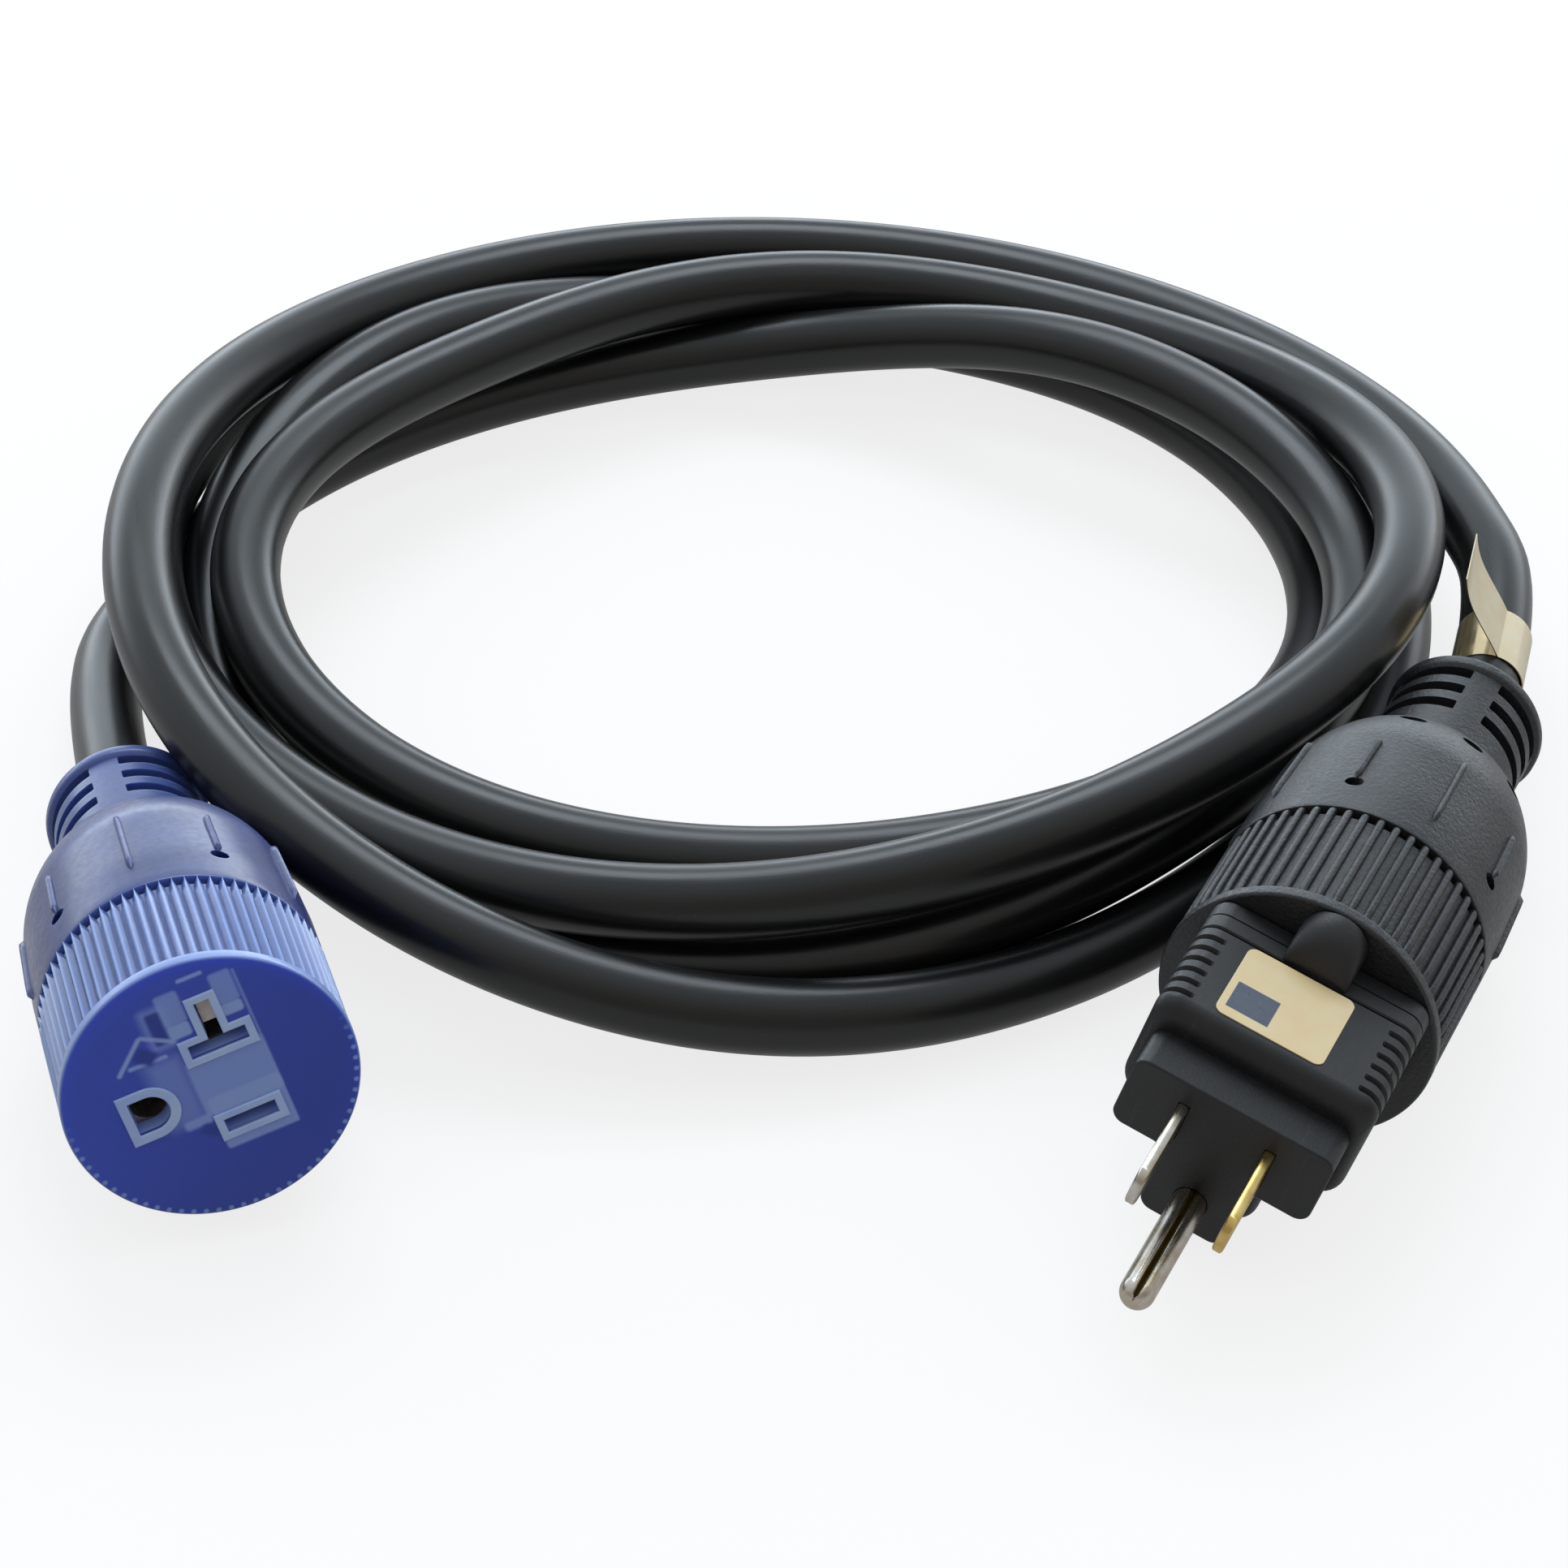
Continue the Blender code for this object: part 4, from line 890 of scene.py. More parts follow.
def cord_path(settings):
    """The cord's middle from inside the connector's neck, round the coil, into the plug's neck."""
    end, cord = settings.end, settings.cord
    reach = end.body + end.shoulder + end.neck
    coil = coil_points()
    first = lead_points(CONNECTOR, reach, coil[0], (coil[0] - coil[2]).normalized(), cord.inside)
    last = lead_points(PLUG, reach, coil[-1], (coil[-1] - coil[-3]).normalized(), cord.inside)
    return resample(first + coil + last[::-1])


def direction_at(points, k):
    """The direction at a point of a path, from the point before it to the one after."""
    return (points[min(k + 1, len(points) - 1)] - points[max(k - 1, 0)]).normalized()


def tube_mesh(name, path, radius, sides):
    """A closed tube along a path, with a UV map in metres: round it, and along it."""
    direction = (path[1] - path[0]).normalized()
    side = direction.orthogonal().normalized()
    points, faces, spots = [], [], []
    for k, point in enumerate(path):
        ahead = direction_at(path, k)
        side = (side - ahead * side.dot(ahead)).normalized()
        other = ahead.cross(side)
        for turn in range(sides):
            angle = math.tau * turn / sides
            points.append(point + (side * math.cos(angle) + other * math.sin(angle)) * radius)
    along = 0.0
    pitch = math.tau * radius / sides
    for k in range(len(path) - 1):
        step = (path[k + 1] - path[k]).length
        for turn in range(sides):
            following = (turn + 1) % sides
            faces.append((k * sides + turn, k * sides + following, (k + 1) * sides + following,
                          (k + 1) * sides + turn))
            spots += [(turn * pitch, along), ((turn + 1) * pitch, along),
                      ((turn + 1) * pitch, along + step), (turn * pitch, along + step)]
        along += step
    for first, order in ((0, range(sides - 1, -1, -1)), ((len(path) - 1) * sides, range(sides))):
        faces.append([first + turn for turn in order])
        spots += [(0.0, 0.0)] * sides
    mesh = bpy.data.meshes.new(name)
    mesh.from_pydata(points, [], faces)
    layer = mesh.uv_layers.new(name="Along")
    layer.data.foreach_set("uv", np.array(spots, np.float32).ravel())
    shade(mesh)
    return mesh


def point_along(path, distance):
    """The point at a distance along a path, and the path's direction there."""
    for here, following in zip(path, path[1:]):
        step = following - here
        if distance <= step.length:
            return here + step.normalized() * distance, step.normalized()
        distance -= step.length
    return path[-1], (path[-1] - path[-2]).normalized()


def make_cord(settings):
    """The jacketed cord, with the tag on it."""
    cord = settings.cord
    path = cord_path(settings)
    mesh = tube_mesh("power_cord", path, cord.diameter / 2, CORD_SIDES)
    mesh.materials.append(material_named("cord_jacket", settings))
    piece = link(bpy.data.objects.new("power_cord", mesh))
    tag = make_tag(settings, path[::-1])
    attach(piece, "root")
    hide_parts("cord_coil", "connector_lead", "plug_lead")


def make_tag(settings, path):
    """A film band round the cord behind the plug's neck, whose free end stands up as a flap."""
    cord = settings.cord
    middle = cord.diameter / 2 + cord.tag_thickness
    place, along = point_along(path, cord.inside + cord.tag_from_neck + cord.tag_width / 2)
    left = Vector((0, 0, 1)).cross(along).normalized()
    upward = along.cross(left)
    band = arc((0, 0), middle, middle, math.radians(TAG_START_DEGREES),
               math.radians(TAG_CREASE_DEGREES - 360), TAG_BAND_STEPS)
    line = [Vector(point) for point in band]
    last = len(TAG_FLAP_LEAN_DEGREES) - 1
    leans = np.interp(np.linspace(0, last, TAG_FLAP_STEPS), range(last + 1), TAG_FLAP_LEAN_DEGREES)
    for lean in np.radians(leans):
        line.append(line[-1] + Vector((math.sin(lean), math.cos(lean))) * cord.tag_flap / len(leans))
    outer, inner = [], []
    for k, point in enumerate(line):
        run = direction_at(line, k)
        normal = Vector((run.y, -run.x)) * cord.tag_thickness / 2
        outer.append(point + normal)
        inner.append(point - normal)
    outline = outer + inner[::-1]
    builder = bmesh.new()
    half = cord.tag_width / 2
    add_loft(builder, [[(*spot, z) for spot in outline] for z in (-half, -half / 3, half / 3, half)])
    for face in builder.faces:
        centre = face.calc_center_median()
        face.material_index = int(centre.x < 0 or centre.y > middle + cord.tag_thickness)
    turn = Matrix((left, upward, along)).transposed().to_4x4()
    tag = piece_from("foil_tag", builder, Matrix.Translation(place) @ turn)
    for finish in ("tag_film", "tag_back"):
        tag.data.materials.append(material_named(finish, settings))
    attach(tag, "root")
    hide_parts("cord_tag")
    return tag


# ---- the moulded ends ----


def end_profile(end, bore):
    """The closed outline of a moulded end, outside from face to neck and back inside."""
    rim, grip, neck, block = end.rim, end.rim + end.grip, end.neck_radius, end.wall + end.block
    shoulder = end.body + end.shoulder
    back = shoulder + end.neck
    lip, lip_top = back - end.lip_width, neck + end.lip
    floor = end.radius - end.grip_depth
    deep = floor - 1.2 * MM
    body = end.radius - 0.1 * MM
    wide = body - 0.5 * MM
    straight = grip + (end.body - grip) * 0.4
    edge = 0.5 * MM

    def run(start, stop, first, last, steps):
        return [(start[0] + (stop[0] - start[0]) * k / steps, start[1] + (stop[1] - start[1]) * k / steps)
                for k in range(first, last)]

    face = run((0, 0), (end.radius, 0), 0, 8, 8)
    face += arc((end.radius - edge, -edge), edge, edge, QUARTER, 0, 4)
    face += [(end.radius, -rim + 0.25 * MM), (end.radius - 0.15 * MM, -rim), (floor, -rim - 0.25 * MM)]
    ridged = run((floor, -rim), (floor, -grip + end.pocket), 1, 7, 6)
    ridged += [(deep, -grip + end.pocket - 0.15 * MM), (deep, -grip), (body - 0.35 * MM, -grip),
               (body - 0.1 * MM, -grip - 0.1 * MM), (body, -grip - 0.35 * MM)]
    sleeve = run((body, -grip), (body, -straight), 1, 5, 4)
    sleeve += run((body, -straight), (wide, -end.body), 1, 6, 6)
    for k in range(25):
        part = math.sin(QUARTER * k / 24)
        sleeve.append((neck + (wide - neck) * (1 - part**1.6) ** 0.6, -end.body - end.shoulder * part))
    tail = run((neck, -shoulder), (neck, -back), 1, 5, 6)
    tail += [(neck, -lip), (neck + end.lip * 0.7, -lip - end.lip * 0.5), (lip_top, -lip - end.lip),
             (lip_top, -back + 0.6 * MM), (lip_top - 0.2 * MM, -back + 0.2 * MM), (lip_top - 0.6 * MM, -back)]
    inside = [(bore + 0.8 * MM, -back), (bore + 0.2 * MM, -back + 0.3 * MM), (bore, -back + 0.9 * MM),
              (bore, -block - 14 * MM), (THROAT_RADIUS, -block - 3.4 * MM), (THROAT_RADIUS, -block),
              (end.block_radius, -block), (end.block_radius, -end.wall), (0, -end.wall)]
    return face + ridged + sleeve + tail + inside


def neck_slots(end, place):
    """Cutters for the rows of flex relief slots, each with rounded ends."""
    builder = bmesh.new()
    inner = end.neck_radius - end.slot_depth
    outer = end.neck_radius + end.slot_depth
    pitch = math.tau / SLOT_COLUMNS
    sweep = pitch - math.radians(SLOT_BAR_DEGREES)
    back = end.body + end.shoulder + end.neck
    half = end.slot / 2
    for row in range(SLOT_ROWS):
        middle = -back + end.lip_width + row * end.slot_pitch + half
        for column in range(SLOT_COLUMNS):
            first = math.radians(SLOT_BAR_DEGREES / 2) + column * pitch
            rings = []
            for k in range(25):
                part = eased(k / 24)
                fade = min(1.0, min(part, 1 - part) * sweep * end.neck_radius / (0.35 * MM))
                height = half * (0.78 + 0.22 * math.sqrt(fade * (2 - fade)))
                angle = first + sweep * part
                ring = [(inner, -height), (outer, -height), (outer, height), (inner, height)]
                rings.append([(r * math.cos(angle), r * math.sin(angle), middle + z) for r, z in ring])
            add_loft(builder, rings)
    return piece_from("neck_slots_cut", builder, place)


def mould_holes(place, pull, spots):
    """Cutters for blind holes whose walls run along the mould's pull: one half and its mirror.

    Each spot is degrees from the pull, radius, distance behind the face, width and height.
    """
    builder = bmesh.new()
    for half, side in ((0, 1), (180, -1)):
        angle = math.radians(pull + half)
        along = Vector((math.cos(angle), math.sin(angle), 0))
        across = Vector((-along.y, along.x, 0)) * side
        for degrees, radius, back, width, height in spots:
            turn = math.radians(degrees)
            surface = (along * math.cos(turn) + across * math.sin(turn)) * radius - Vector((0, 0, back))
            outline = arc((0, 0), width / 2, height / 2, 0, math.tau, 24)[:-1]
            add_loft(builder, [[surface + along * depth + across * x + Vector((0, 0, z)) for x, z in outline]
                               for depth in HOLE_DEPTHS])
    return piece_from("holes_cut", builder, place)


def ring_tree():
    """Geometry nodes that set copies of a shape round an axis and put the ring in place."""
    if "Ring Of Copies" in bpy.data.node_groups:
        return bpy.data.node_groups["Ring Of Copies"]
    sockets = {"Shape": "Geometry", "Copies": "Int", "First Angle": "Float", "Step Angle": "Float",
               "Location": "Vector", "Rotation": "Vector", "Finish": "Material"}
    tree, given, out = group("Ring Of Copies", "GeometryNodeTree", sockets, {"Ring": "Geometry"})
    step = times(tree, source(tree, "GeometryNodeInputIndex", 0), given["Step Angle"])
    angle = maths(tree, "ADD", step, given["First Angle"])
    turn = node(tree, "ShaderNodeCombineXYZ", {"Z": angle}).outputs[0]
    made = node(tree, "GeometryNodePoints", {"Count": given["Copies"]}).outputs[0]
    for kind, socket, inputs in (
            ("InstanceOnPoints", "Points", {"Instance": given["Shape"], "Rotation": turn}),
            ("Transform", "Geometry", {"Translation": given["Location"], "Rotation": given["Rotation"]}),
            ("RealizeInstances", "Geometry", {}), ("SetMaterial", "Geometry", {"Material": given["Finish"]})):
        made = node(tree, "GeometryNode" + kind, {socket: made, **inputs}).outputs[0]
    connect(tree, out, {"Ring": made})
    return tree


def ring_of(obj, copies, first, step, place, finish):
    """Turn a shape into a ring of copies of it round an end's axis."""
    tree = ring_tree()
    modifier = obj.modifiers.new("Ring", "NODES")
    modifier.node_group = tree
    values = {"Copies": copies, "First Angle": math.radians(first), "Step Angle": math.radians(step),
              "Location": place.translation[:], "Rotation": place.to_euler()[:], "Finish": finish}
    for socket in tree.interface.items_tree:
        if socket.in_out == "INPUT" and socket.name in values:
            modifier[socket.identifier] = values[socket.name]
    settle(obj)
    shade(obj.data)
    return obj


def ridge(name, stations):
    """One ridge along -Z, from (z, [(sideways, radius), ...]) stations, set at angle nought."""
    builder = bmesh.new()
    add_loft(builder, [[(radius, sideways, z) for sideways, radius in ring] for z, ring in stations])
    return piece_from(name, builder)


def ridge_span(end, below):
    """The foot and top radius of a ridge, and where the grip ends."""
    return end.radius - end.grip_depth - 0.3 * MM, end.radius - below, -end.rim - end.grip


def sharp_ridge(end):
    """A ridge of the connector's grip: a steep gable whose rear end runs to a point."""
    foot, top, back = ridge_span(end, 0.05 * MM)
    half = math.tau * end.radius / end.blue_ridges * 0.45
    stations = []
    for z, width, height in ((-end.rim + 0.3 * MM, 1, 0.9), (-end.rim - 0.5 * MM, 1, 1),
                             (back + 3.2 * MM, 1, 1), (back + 1.6 * MM, 0.8, 1), (back + 0.6 * MM, 0.4, 0.99),
                             (back - 0.1 * MM, 0.08, 0.97)):
        peak = foot + (top - foot) * height
        low = foot + (peak - foot) * 0.3
        side = [(half * width, foot), (half * width, low), (0.13 * MM * width, peak - 0.06 * MM)]
        stations.append((z, [(-x, y) for x, y in side] + [(0, peak)] + side[::-1]))
    return ridge("blue_ridge", stations)


def round_ridge(end):
    """A ridge of the plug's grip: a round-topped bar that runs back to the body's edge."""
    foot, top, back = ridge_span(end, 0.1 * MM)
    half = 0.58 * MM
    stations = []
    for z, height in ((-end.rim + 0.4 * MM, 0.55), (-end.rim - 1.2 * MM, 0.9), (-end.rim - 2.6 * MM, 1),
                      (back + 1.0 * MM, 1), (back + 0.4 * MM, 0.94), (back, 0.8)):
        peak = foot + (top - foot) * height
        rise = min(half, peak - foot) * 0.75
        side = [(half, foot), (half, peak - rise)]
        side += [(half * math.cos(a), peak - rise * (1 - math.sin(a))) for a in (0.5, 1.05)]
        stations.append((z, [(-x, y) for x, y in side] + [(0, peak)] + side[::-1]))
    return ridge("black_ridge", stations)


def side_rib(end, front, back):
    """A low round-ended rib along the body."""
    stations = []
    for part in np.linspace(0, 1, 13):
        z = front + (back - front) * part
        fade = min(1.0, abs((back - front) * min(part, 1 - part)) / (RIB_WIDTH / 2))
        swell = math.sqrt(max(0.0, 1 - (1 - fade) ** 2))
        radius = end.radius - 0.12 * MM - 0.5 * MM * max(0.0, (-z - 30 * MM) / (11 * MM)) - drop(end, -z)
        half = max(0.05 * MM, RIB_WIDTH / 2 * swell)
        top = arc((0, radius), -half, RIB_HEIGHT * swell, 0, math.pi, 6)
        stations.append((z, [(-half, radius - 0.6 * MM), *top, (half, radius - 0.6 * MM)]))
    return ridge("side_rib", stations)


def drop(end, back):
    """How far the shoulder's outline has fallen at a distance behind the face."""
    part = max(0.0, (back - end.body) / end.shoulder)
    wide = end.radius - 0.6 * MM
    return (wide - end.neck_radius) * (1 - (1 - part**1.6) ** 0.6)


def moulded_end(settings, name, place, finish, pull, more_holes=()):
    """The overmould of an end: turned body, neck slots and the small blind holes."""
    end = settings.end
    body = turned(name, end_profile(end, settings.cord.diameter / 2 + 0.15 * MM), 180, place, finish)
    holes = [(degrees, end.radius - 0.2 * MM, *RIB_HOLE) for degrees in HOLED_RIBS]
    return carve(body, [neck_slots(end, place), mould_holes(place, pull, (*holes, *more_holes))])


def grip_and_ribs(settings, name, place, finish, ridges, copies, pull):
    """The ridges round the grip, and the long and short ribs of both mould halves."""
    grip = ring_of(ridges, copies, 0, 360 / copies, place, finish)
    grip.name = name + "_grip"
    pieces = [grip]
    for kind, spots, front, back in (("long", LONG_RIBS, 26.8, 43), ("short", HOLED_RIBS, 29.3, 40.3)):
        for half in (0, 180):
            rib = side_rib(settings.end, -front * MM, -back * MM)
            ribs = ring_of(rib, len(spots), pull + half + spots[0], spots[1] - spots[0], place, finish)
            ribs.name = f"{name}_{kind}_ribs_{half}"
            pieces.append(ribs)
    return pieces


def upright(name, centre, z_range, place, gap=0.3 * MM):
    """A cutter for an upright blade, with a gap all round it."""
    return box(name, (BLADE_THICKNESS + 2 * gap, BLADE_WIDTH + 2 * gap), centre, z_range, place)


def ride_all(pieces, body):
    """Put pieces on a body."""
    for piece in pieces:
        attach(piece, body)


def toward(first, second, part):
    """An outline part of the way from one to another."""
    return [tuple(Vector(a).lerp(Vector(b), part)) for a, b in zip(first, second)]


def border(name, outline, outer, place, finish):
    """A raised edge round a slot, from its outline out to a larger one."""
    builder = bmesh.new()
    low, edge, top = -0.15 * MM, 0.18 * MM, 0.3 * MM
    levels = [(outer, low), (outer, edge), (toward(outer, outline, 0.12), top),
              (toward(outline, outer, 0.12), top), (outline, edge), (outline, low)]
    rings = [[builder.verts.new((x, y, z)) for x, y in ring] for ring, z in levels]
    for ring, following in zip(rings, rings[1:] + rings[:1]):
        for spot in range(len(ring)):
            ahead = (spot + 1) % len(ring)
            builder.faces.new((ring[spot], ring[ahead], following[ahead], following[spot]))
    return piece_from(name, builder, place, finish)


def through(wall):
    """From behind a wall of this thickness to in front of it."""
    return -wall - 0.5 * MM, 0.5 * MM


def slot_corners(grow):
    """A straight slot, grown by a margin."""
    return rectangle(FACE_SLOT_WIDTH + 2 * grow, FACE_SLOT_HEIGHT + 2 * grow, (BLADE_X, CONNECTOR_LINE))


def tee_corners(grow):
    """The T slot: an upright bar with an arm out to its left, grown by a margin."""
    side = FACE_SLOT_WIDTH / 2 + grow
    right, left, out = -BLADE_X + side, -BLADE_X - side, -TEE_REACH - grow
    top, bottom = (CONNECTOR_LINE + sign * (TEE_HEIGHT / 2 + grow) for sign in (1, -1))
    return [(right, bottom), (right, top), (left, top), (left, CONNECTOR_LINE + side),
            (out, CONNECTOR_LINE + side), (out, CONNECTOR_LINE - side), (left, CONNECTOR_LINE - side),
            (left, bottom)]


def ground_corners(wider, taller):
    """The ground hole, a D: round towards the blades and flat on the far side."""
    radius, y = GROUND_RADIUS + wider, CONNECTOR_LINE - GROUND_DROP
    flat = y - GROUND_FLAT - taller
    return [(radius, flat), *arc((0, y), radius, radius, 0, math.pi, 15), (-radius, flat)]


def make_connector(settings):
    """The blue end: its body with three openings, their raised edges, the grip and the ribs."""
    end = settings.end
    blue = material_named("blue_pvc", settings)
    trim = material_named("blue_trim", settings)
    body = moulded_end(settings, "connector_body", CONNECTOR, blue, CONNECTOR_PULL)
    openings = {"hot_slot": (slot_corners(0), slot_corners(1.1 * MM)),
                "neutral_slot": (tee_corners(0), tee_corners(1.1 * MM)),
                "ground_hole": (ground_corners(0, 0), ground_corners(1.4 * MM, 1.3 * MM))}
    even_normals(carve(body, [loft(name + "_cut", [(z, inner) for z in through(end.wall)], CONNECTOR)
                              for name, (inner, _) in openings.items()]))
    borders = [border(name + "_edge", inner, outer, CONNECTOR, trim)
               for name, (inner, outer) in openings.items()]
    details = grip_and_ribs(settings, "connector", CONNECTOR, blue, sharp_ridge(end), end.blue_ridges,
                            CONNECTOR_PULL)
    lip = box("neutral_contact_lip", (4.6 * MM, 1.8 * MM), (-10.9 * MM, CONNECTOR_LINE),
              (-3.6 * MM, -2.2 * MM), CONNECTOR, material_named("connector_brass", settings))
    ride_all([lip], "root")
    ride_all([body, *borders, *details], "root")
    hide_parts("connector_shell")


def make_plug(settings):
    """The black end: its body with the openings for its blades and pin, the grip and the ribs."""
    end = settings.end
    black = material_named("black_pvc", settings)
    vents = [(degrees, *VENT) for degrees in VENT_DEGREES]
    body = moulded_end(settings, "plug_body", PLUG, black, PLUG_PULL, vents)
    deep = through(end.wall)
    even_normals(carve(body, [
        upright("hot_cut", (-BLADE_X, PLUG_LINE), deep, PLUG),
        box("neutral_cut", (BLADE_WIDTH + 0.6 * MM, BLADE_THICKNESS + 0.6 * MM), (CROSS_BLADE_X, PLUG_LINE),
            deep, PLUG),
        round_hole("ground_cut", 2.7 * MM, (0, PLUG_LINE - GROUND_DROP), deep, PLUG, 48)]))
    details = grip_and_ribs(settings, "plug", PLUG, black, round_ridge(end), end.black_ridges, PLUG_PULL)
    ride_all([body, *details], "root")
    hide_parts("plug_shell")


# ---- the adapter ----


def tee_outline(sides, corner, inset=0.0):
    """The T outline, two arms over a stem, drawn in by an inset."""
    arm, top, arm_drop, stem, stem_drop = (side - inset for side in sides)
    right = [(stem, -stem_drop), (stem, -arm_drop), (arm, -arm_drop), (arm, top)]
    return rounded(right + [(-x, y) for x, y in reversed(right)], corner - inset)


def full_tee(size):
    """The sides of the whole T, in the order that tee_outline takes."""
    return size.arm, size.top, size.arm_drop, size.stem, size.stem_drop


def seam_of(size):
    """Where the front body and the rear cover meet."""
    return -size.depth + size.cover


def adapter_sections(size):
    """Outlines from the seam forward, through the soft rounding, to the boss face."""
    seam = seam_of(size) + 0.15 * MM
    full = full_tee(size)
    boss = (size.boss_arm, size.boss_top, size.boss_arm_drop, size.boss_stem, size.boss_stem_drop)
    back_edge, front_edge = 0.25 * MM, 0.4 * MM
    sections = [(seam, tee_outline(full, size.corner, back_edge)),
                (seam + back_edge, tee_outline(full, size.corner))]
    for angle in np.linspace(0, QUARTER, 13):
        part = 0.8 * (1 - math.cos(angle))
        sides = [a + (b - a) * part for a, b in zip(full, boss)]
        corner = size.corner + (BOSS_CORNER - size.corner) * part
        sections.append((-size.boss - size.front_round * (1 - math.sin(angle)), tee_outline(sides, corner)))
    sections.append((-size.boss, tee_outline(boss, BOSS_CORNER)))
    for angle in np.linspace(0, QUARTER, 5):
        z = front_edge * (math.sin(angle) - 1)
        sections.append((z, tee_outline(boss, BOSS_CORNER, front_edge * (1 - math.cos(angle)))))
    return sections


def groove_cutters(size):
    """Soft V grooves that wrap each long edge: from the top, round the corner, down the side."""
    builder = bmesh.new()
    x, y = size.arm - size.corner, size.top - size.corner
    above, outside, end = size.top + MM, size.arm + MM, -size.arm_drop + 2.5 * MM

    def outline(side, depth):
        inner = size.corner - depth
        path = [(x - 1.2 * MM, size.top + 0.1 * MM), (x - 0.8 * MM, size.top - depth),
                *arc((x, y), inner, inner, QUARTER, 0, 8), (size.arm - depth, end + 0.7 * MM),
                (size.arm + 0.1 * MM, end), (outside, end), (outside, above), (x - 1.2 * MM, above)]
        return [(side * across, up) for across, up in path]

    levels = ((-0.5, -0.03 * MM), (-0.2, size.groove_depth), (0.2, size.groove_depth), (0.5, -0.03 * MM))
    for k in range(GROOVES):
        z = seam_of(size) + (k + 1) * size.groove_pitch
        for side in (1, -1):
            add_loft(builder, [[(*spot, z + part * size.groove) for spot in outline(side, depth)]
                               for part, depth in levels])
    return piece_from("grooves_cut", builder, ADAPTER)


def make_adapter(settings):
    """The adapter's front body and rear cover."""
    size = settings.adapter
    black = material_named("adapter_plastic", settings)
    body = loft("adapter_body", adapter_sections(size), ADAPTER, black)
    forward = (-20 * MM, 0.5 * MM)
    behind = (seam_of(size) - 0.5 * MM, -7.7 * MM)
    ground = (0, -GROUND_DROP)
    even_normals(carve(body, [
        groove_cutters(size), upright("hot_cut", (-BLADE_X, 0), forward, ADAPTER, 0.1 * MM),
        upright("neutral_cut", (BLADE_X, 0), forward, ADAPTER, 0.1 * MM),
        round_hole("pin_cut", 2.5 * MM, ground, forward, ADAPTER),
        round_hole("socket_cut", 4.1 * MM, ground, behind, ADAPTER),
        box("hot_socket_cut", (4.8 * MM, 9.7 * MM), (-BLADE_X, 0), behind, ADAPTER),
        box("neutral_socket_cut", (9.7 * MM, 4.8 * MM), (CROSS_BLADE_X, 0), behind, ADAPTER)]))
    cover = make_cover(size, black)
    ride_all([body, cover], "adapter")
    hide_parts("adapter_front_body")
    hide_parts("adapter_rear_cover")


def make_cover(size, finish):
    """The rear cover with its hump, a fine line round it and the openings for the plug."""
    seam = seam_of(size)
    line = seam - 2.9 * MM
    levels = ((-size.depth, 0.4), (-size.depth + 0.12 * MM, 0.12), (-size.depth + 0.4 * MM, 0),
              (line - 0.15 * MM, 0), (line - 0.1 * MM, 0.2), (line + 0.1 * MM, 0.2), (line + 0.15 * MM, 0),
              (seam - 0.35 * MM, 0), (seam - 0.15 * MM, 0.25))
    cover = loft("adapter_cover", [(z, tee_outline(full_tee(size), size.corner, inset * MM))
                                   for z, inset in levels], ADAPTER, finish)
    carve(cover, [hump(size)], "UNION")
    back, front = -size.depth - 0.5 * MM, seam + 0.5 * MM
    return even_normals(carve(cover, [
        upright("cover_hot_cut", (-BLADE_X, 0), (back, front), ADAPTER),
        box("cover_neutral_cut", (2.1 * MM, 8 * MM), (BLADE_X, 0), (back, front), ADAPTER),
        box("cover_cross_cut", (6.9 * MM, 2.1 * MM), (CROSS_BLADE_X, 0), (back - 0.1 * MM, front), ADAPTER),
        round_hole("cover_ground_cut", 2.7 * MM, (0, -GROUND_DROP), (back, front), ADAPTER)]))


def hump(size):
    """The domed hump that rises from the seam to the plug's face."""
    foot = size.top - 2 * MM
    sections = []
    for k in range(17):
        part = math.sin(QUARTER * k / 17)
        top = size.top + (size.hump_top - size.top) * math.sqrt(1 - part * part)
        half_rise = (top - foot) * 0.5
        dome = arc((0, foot + half_rise), size.hump, half_rise, 0, math.pi, 20)
        sections.append((-size.depth + (size.cover - 0.15 * MM) * part,
                         [(-size.hump, foot), (size.hump, foot), *dome]))
    return loft("hump_join", sections, ADAPTER)


def make_label(settings):
    """The film label on the adapter's top."""
    size = settings.adapter
    centre = (-1.2 * MM, seam_of(size) + 0.6 * MM + size.label_length / 2)
    outline, inner = (rounded(rectangle(size.label_width - less, size.label_length - less, centre),
                              1.3 * MM - less / 2) for less in (0, 0.1 * MM))
    lay = Matrix.Translation((0, size.top + 0.02 * MM, 0)) @ Matrix.Rotation(-QUARTER, 4, "X")
    flip = Matrix.Scale(-1, 4, (0, 1, 0))
    label = loft("adapter_film", [(0, outline), (0.1 * MM, outline), (0.14 * MM, inner)],
                 ADAPTER @ lay @ flip, material_named("label_film", settings))
    label.data.flip_normals()
    ride_all([label], "adapter")
    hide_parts("adapter_label")


def blade_piece(centre, z_range, finish):
    """A flat blade with rounded tip corners and softened edges."""
    half = BLADE_WIDTH / 2
    root, tip = z_range
    turn = 2.2 * MM
    side = [(half, tip - turn), *arc((half - turn, tip - turn), turn, turn, 0, QUARTER, 7)[1:]]
    outline = [(-half, root), (half, root), *side, *((-x, z) for x, z in reversed(side))]
    builder = bmesh.new()
    add_loft(builder, [
        [(centre[0] + depth * MM, centre[1] + x - math.copysign(inset * 0.6 * MM, x),
          z - (inset * 1.3 * MM if z > root else 0)) for x, z in outline]
        for depth, inset in ((-0.75, 0.4), (-0.68, 0.18), (-0.5, 0), (0.5, 0), (0.68, 0.18), (0.75, 0.4))])
    return piece_from("blade_join", builder, ADAPTER, finish)


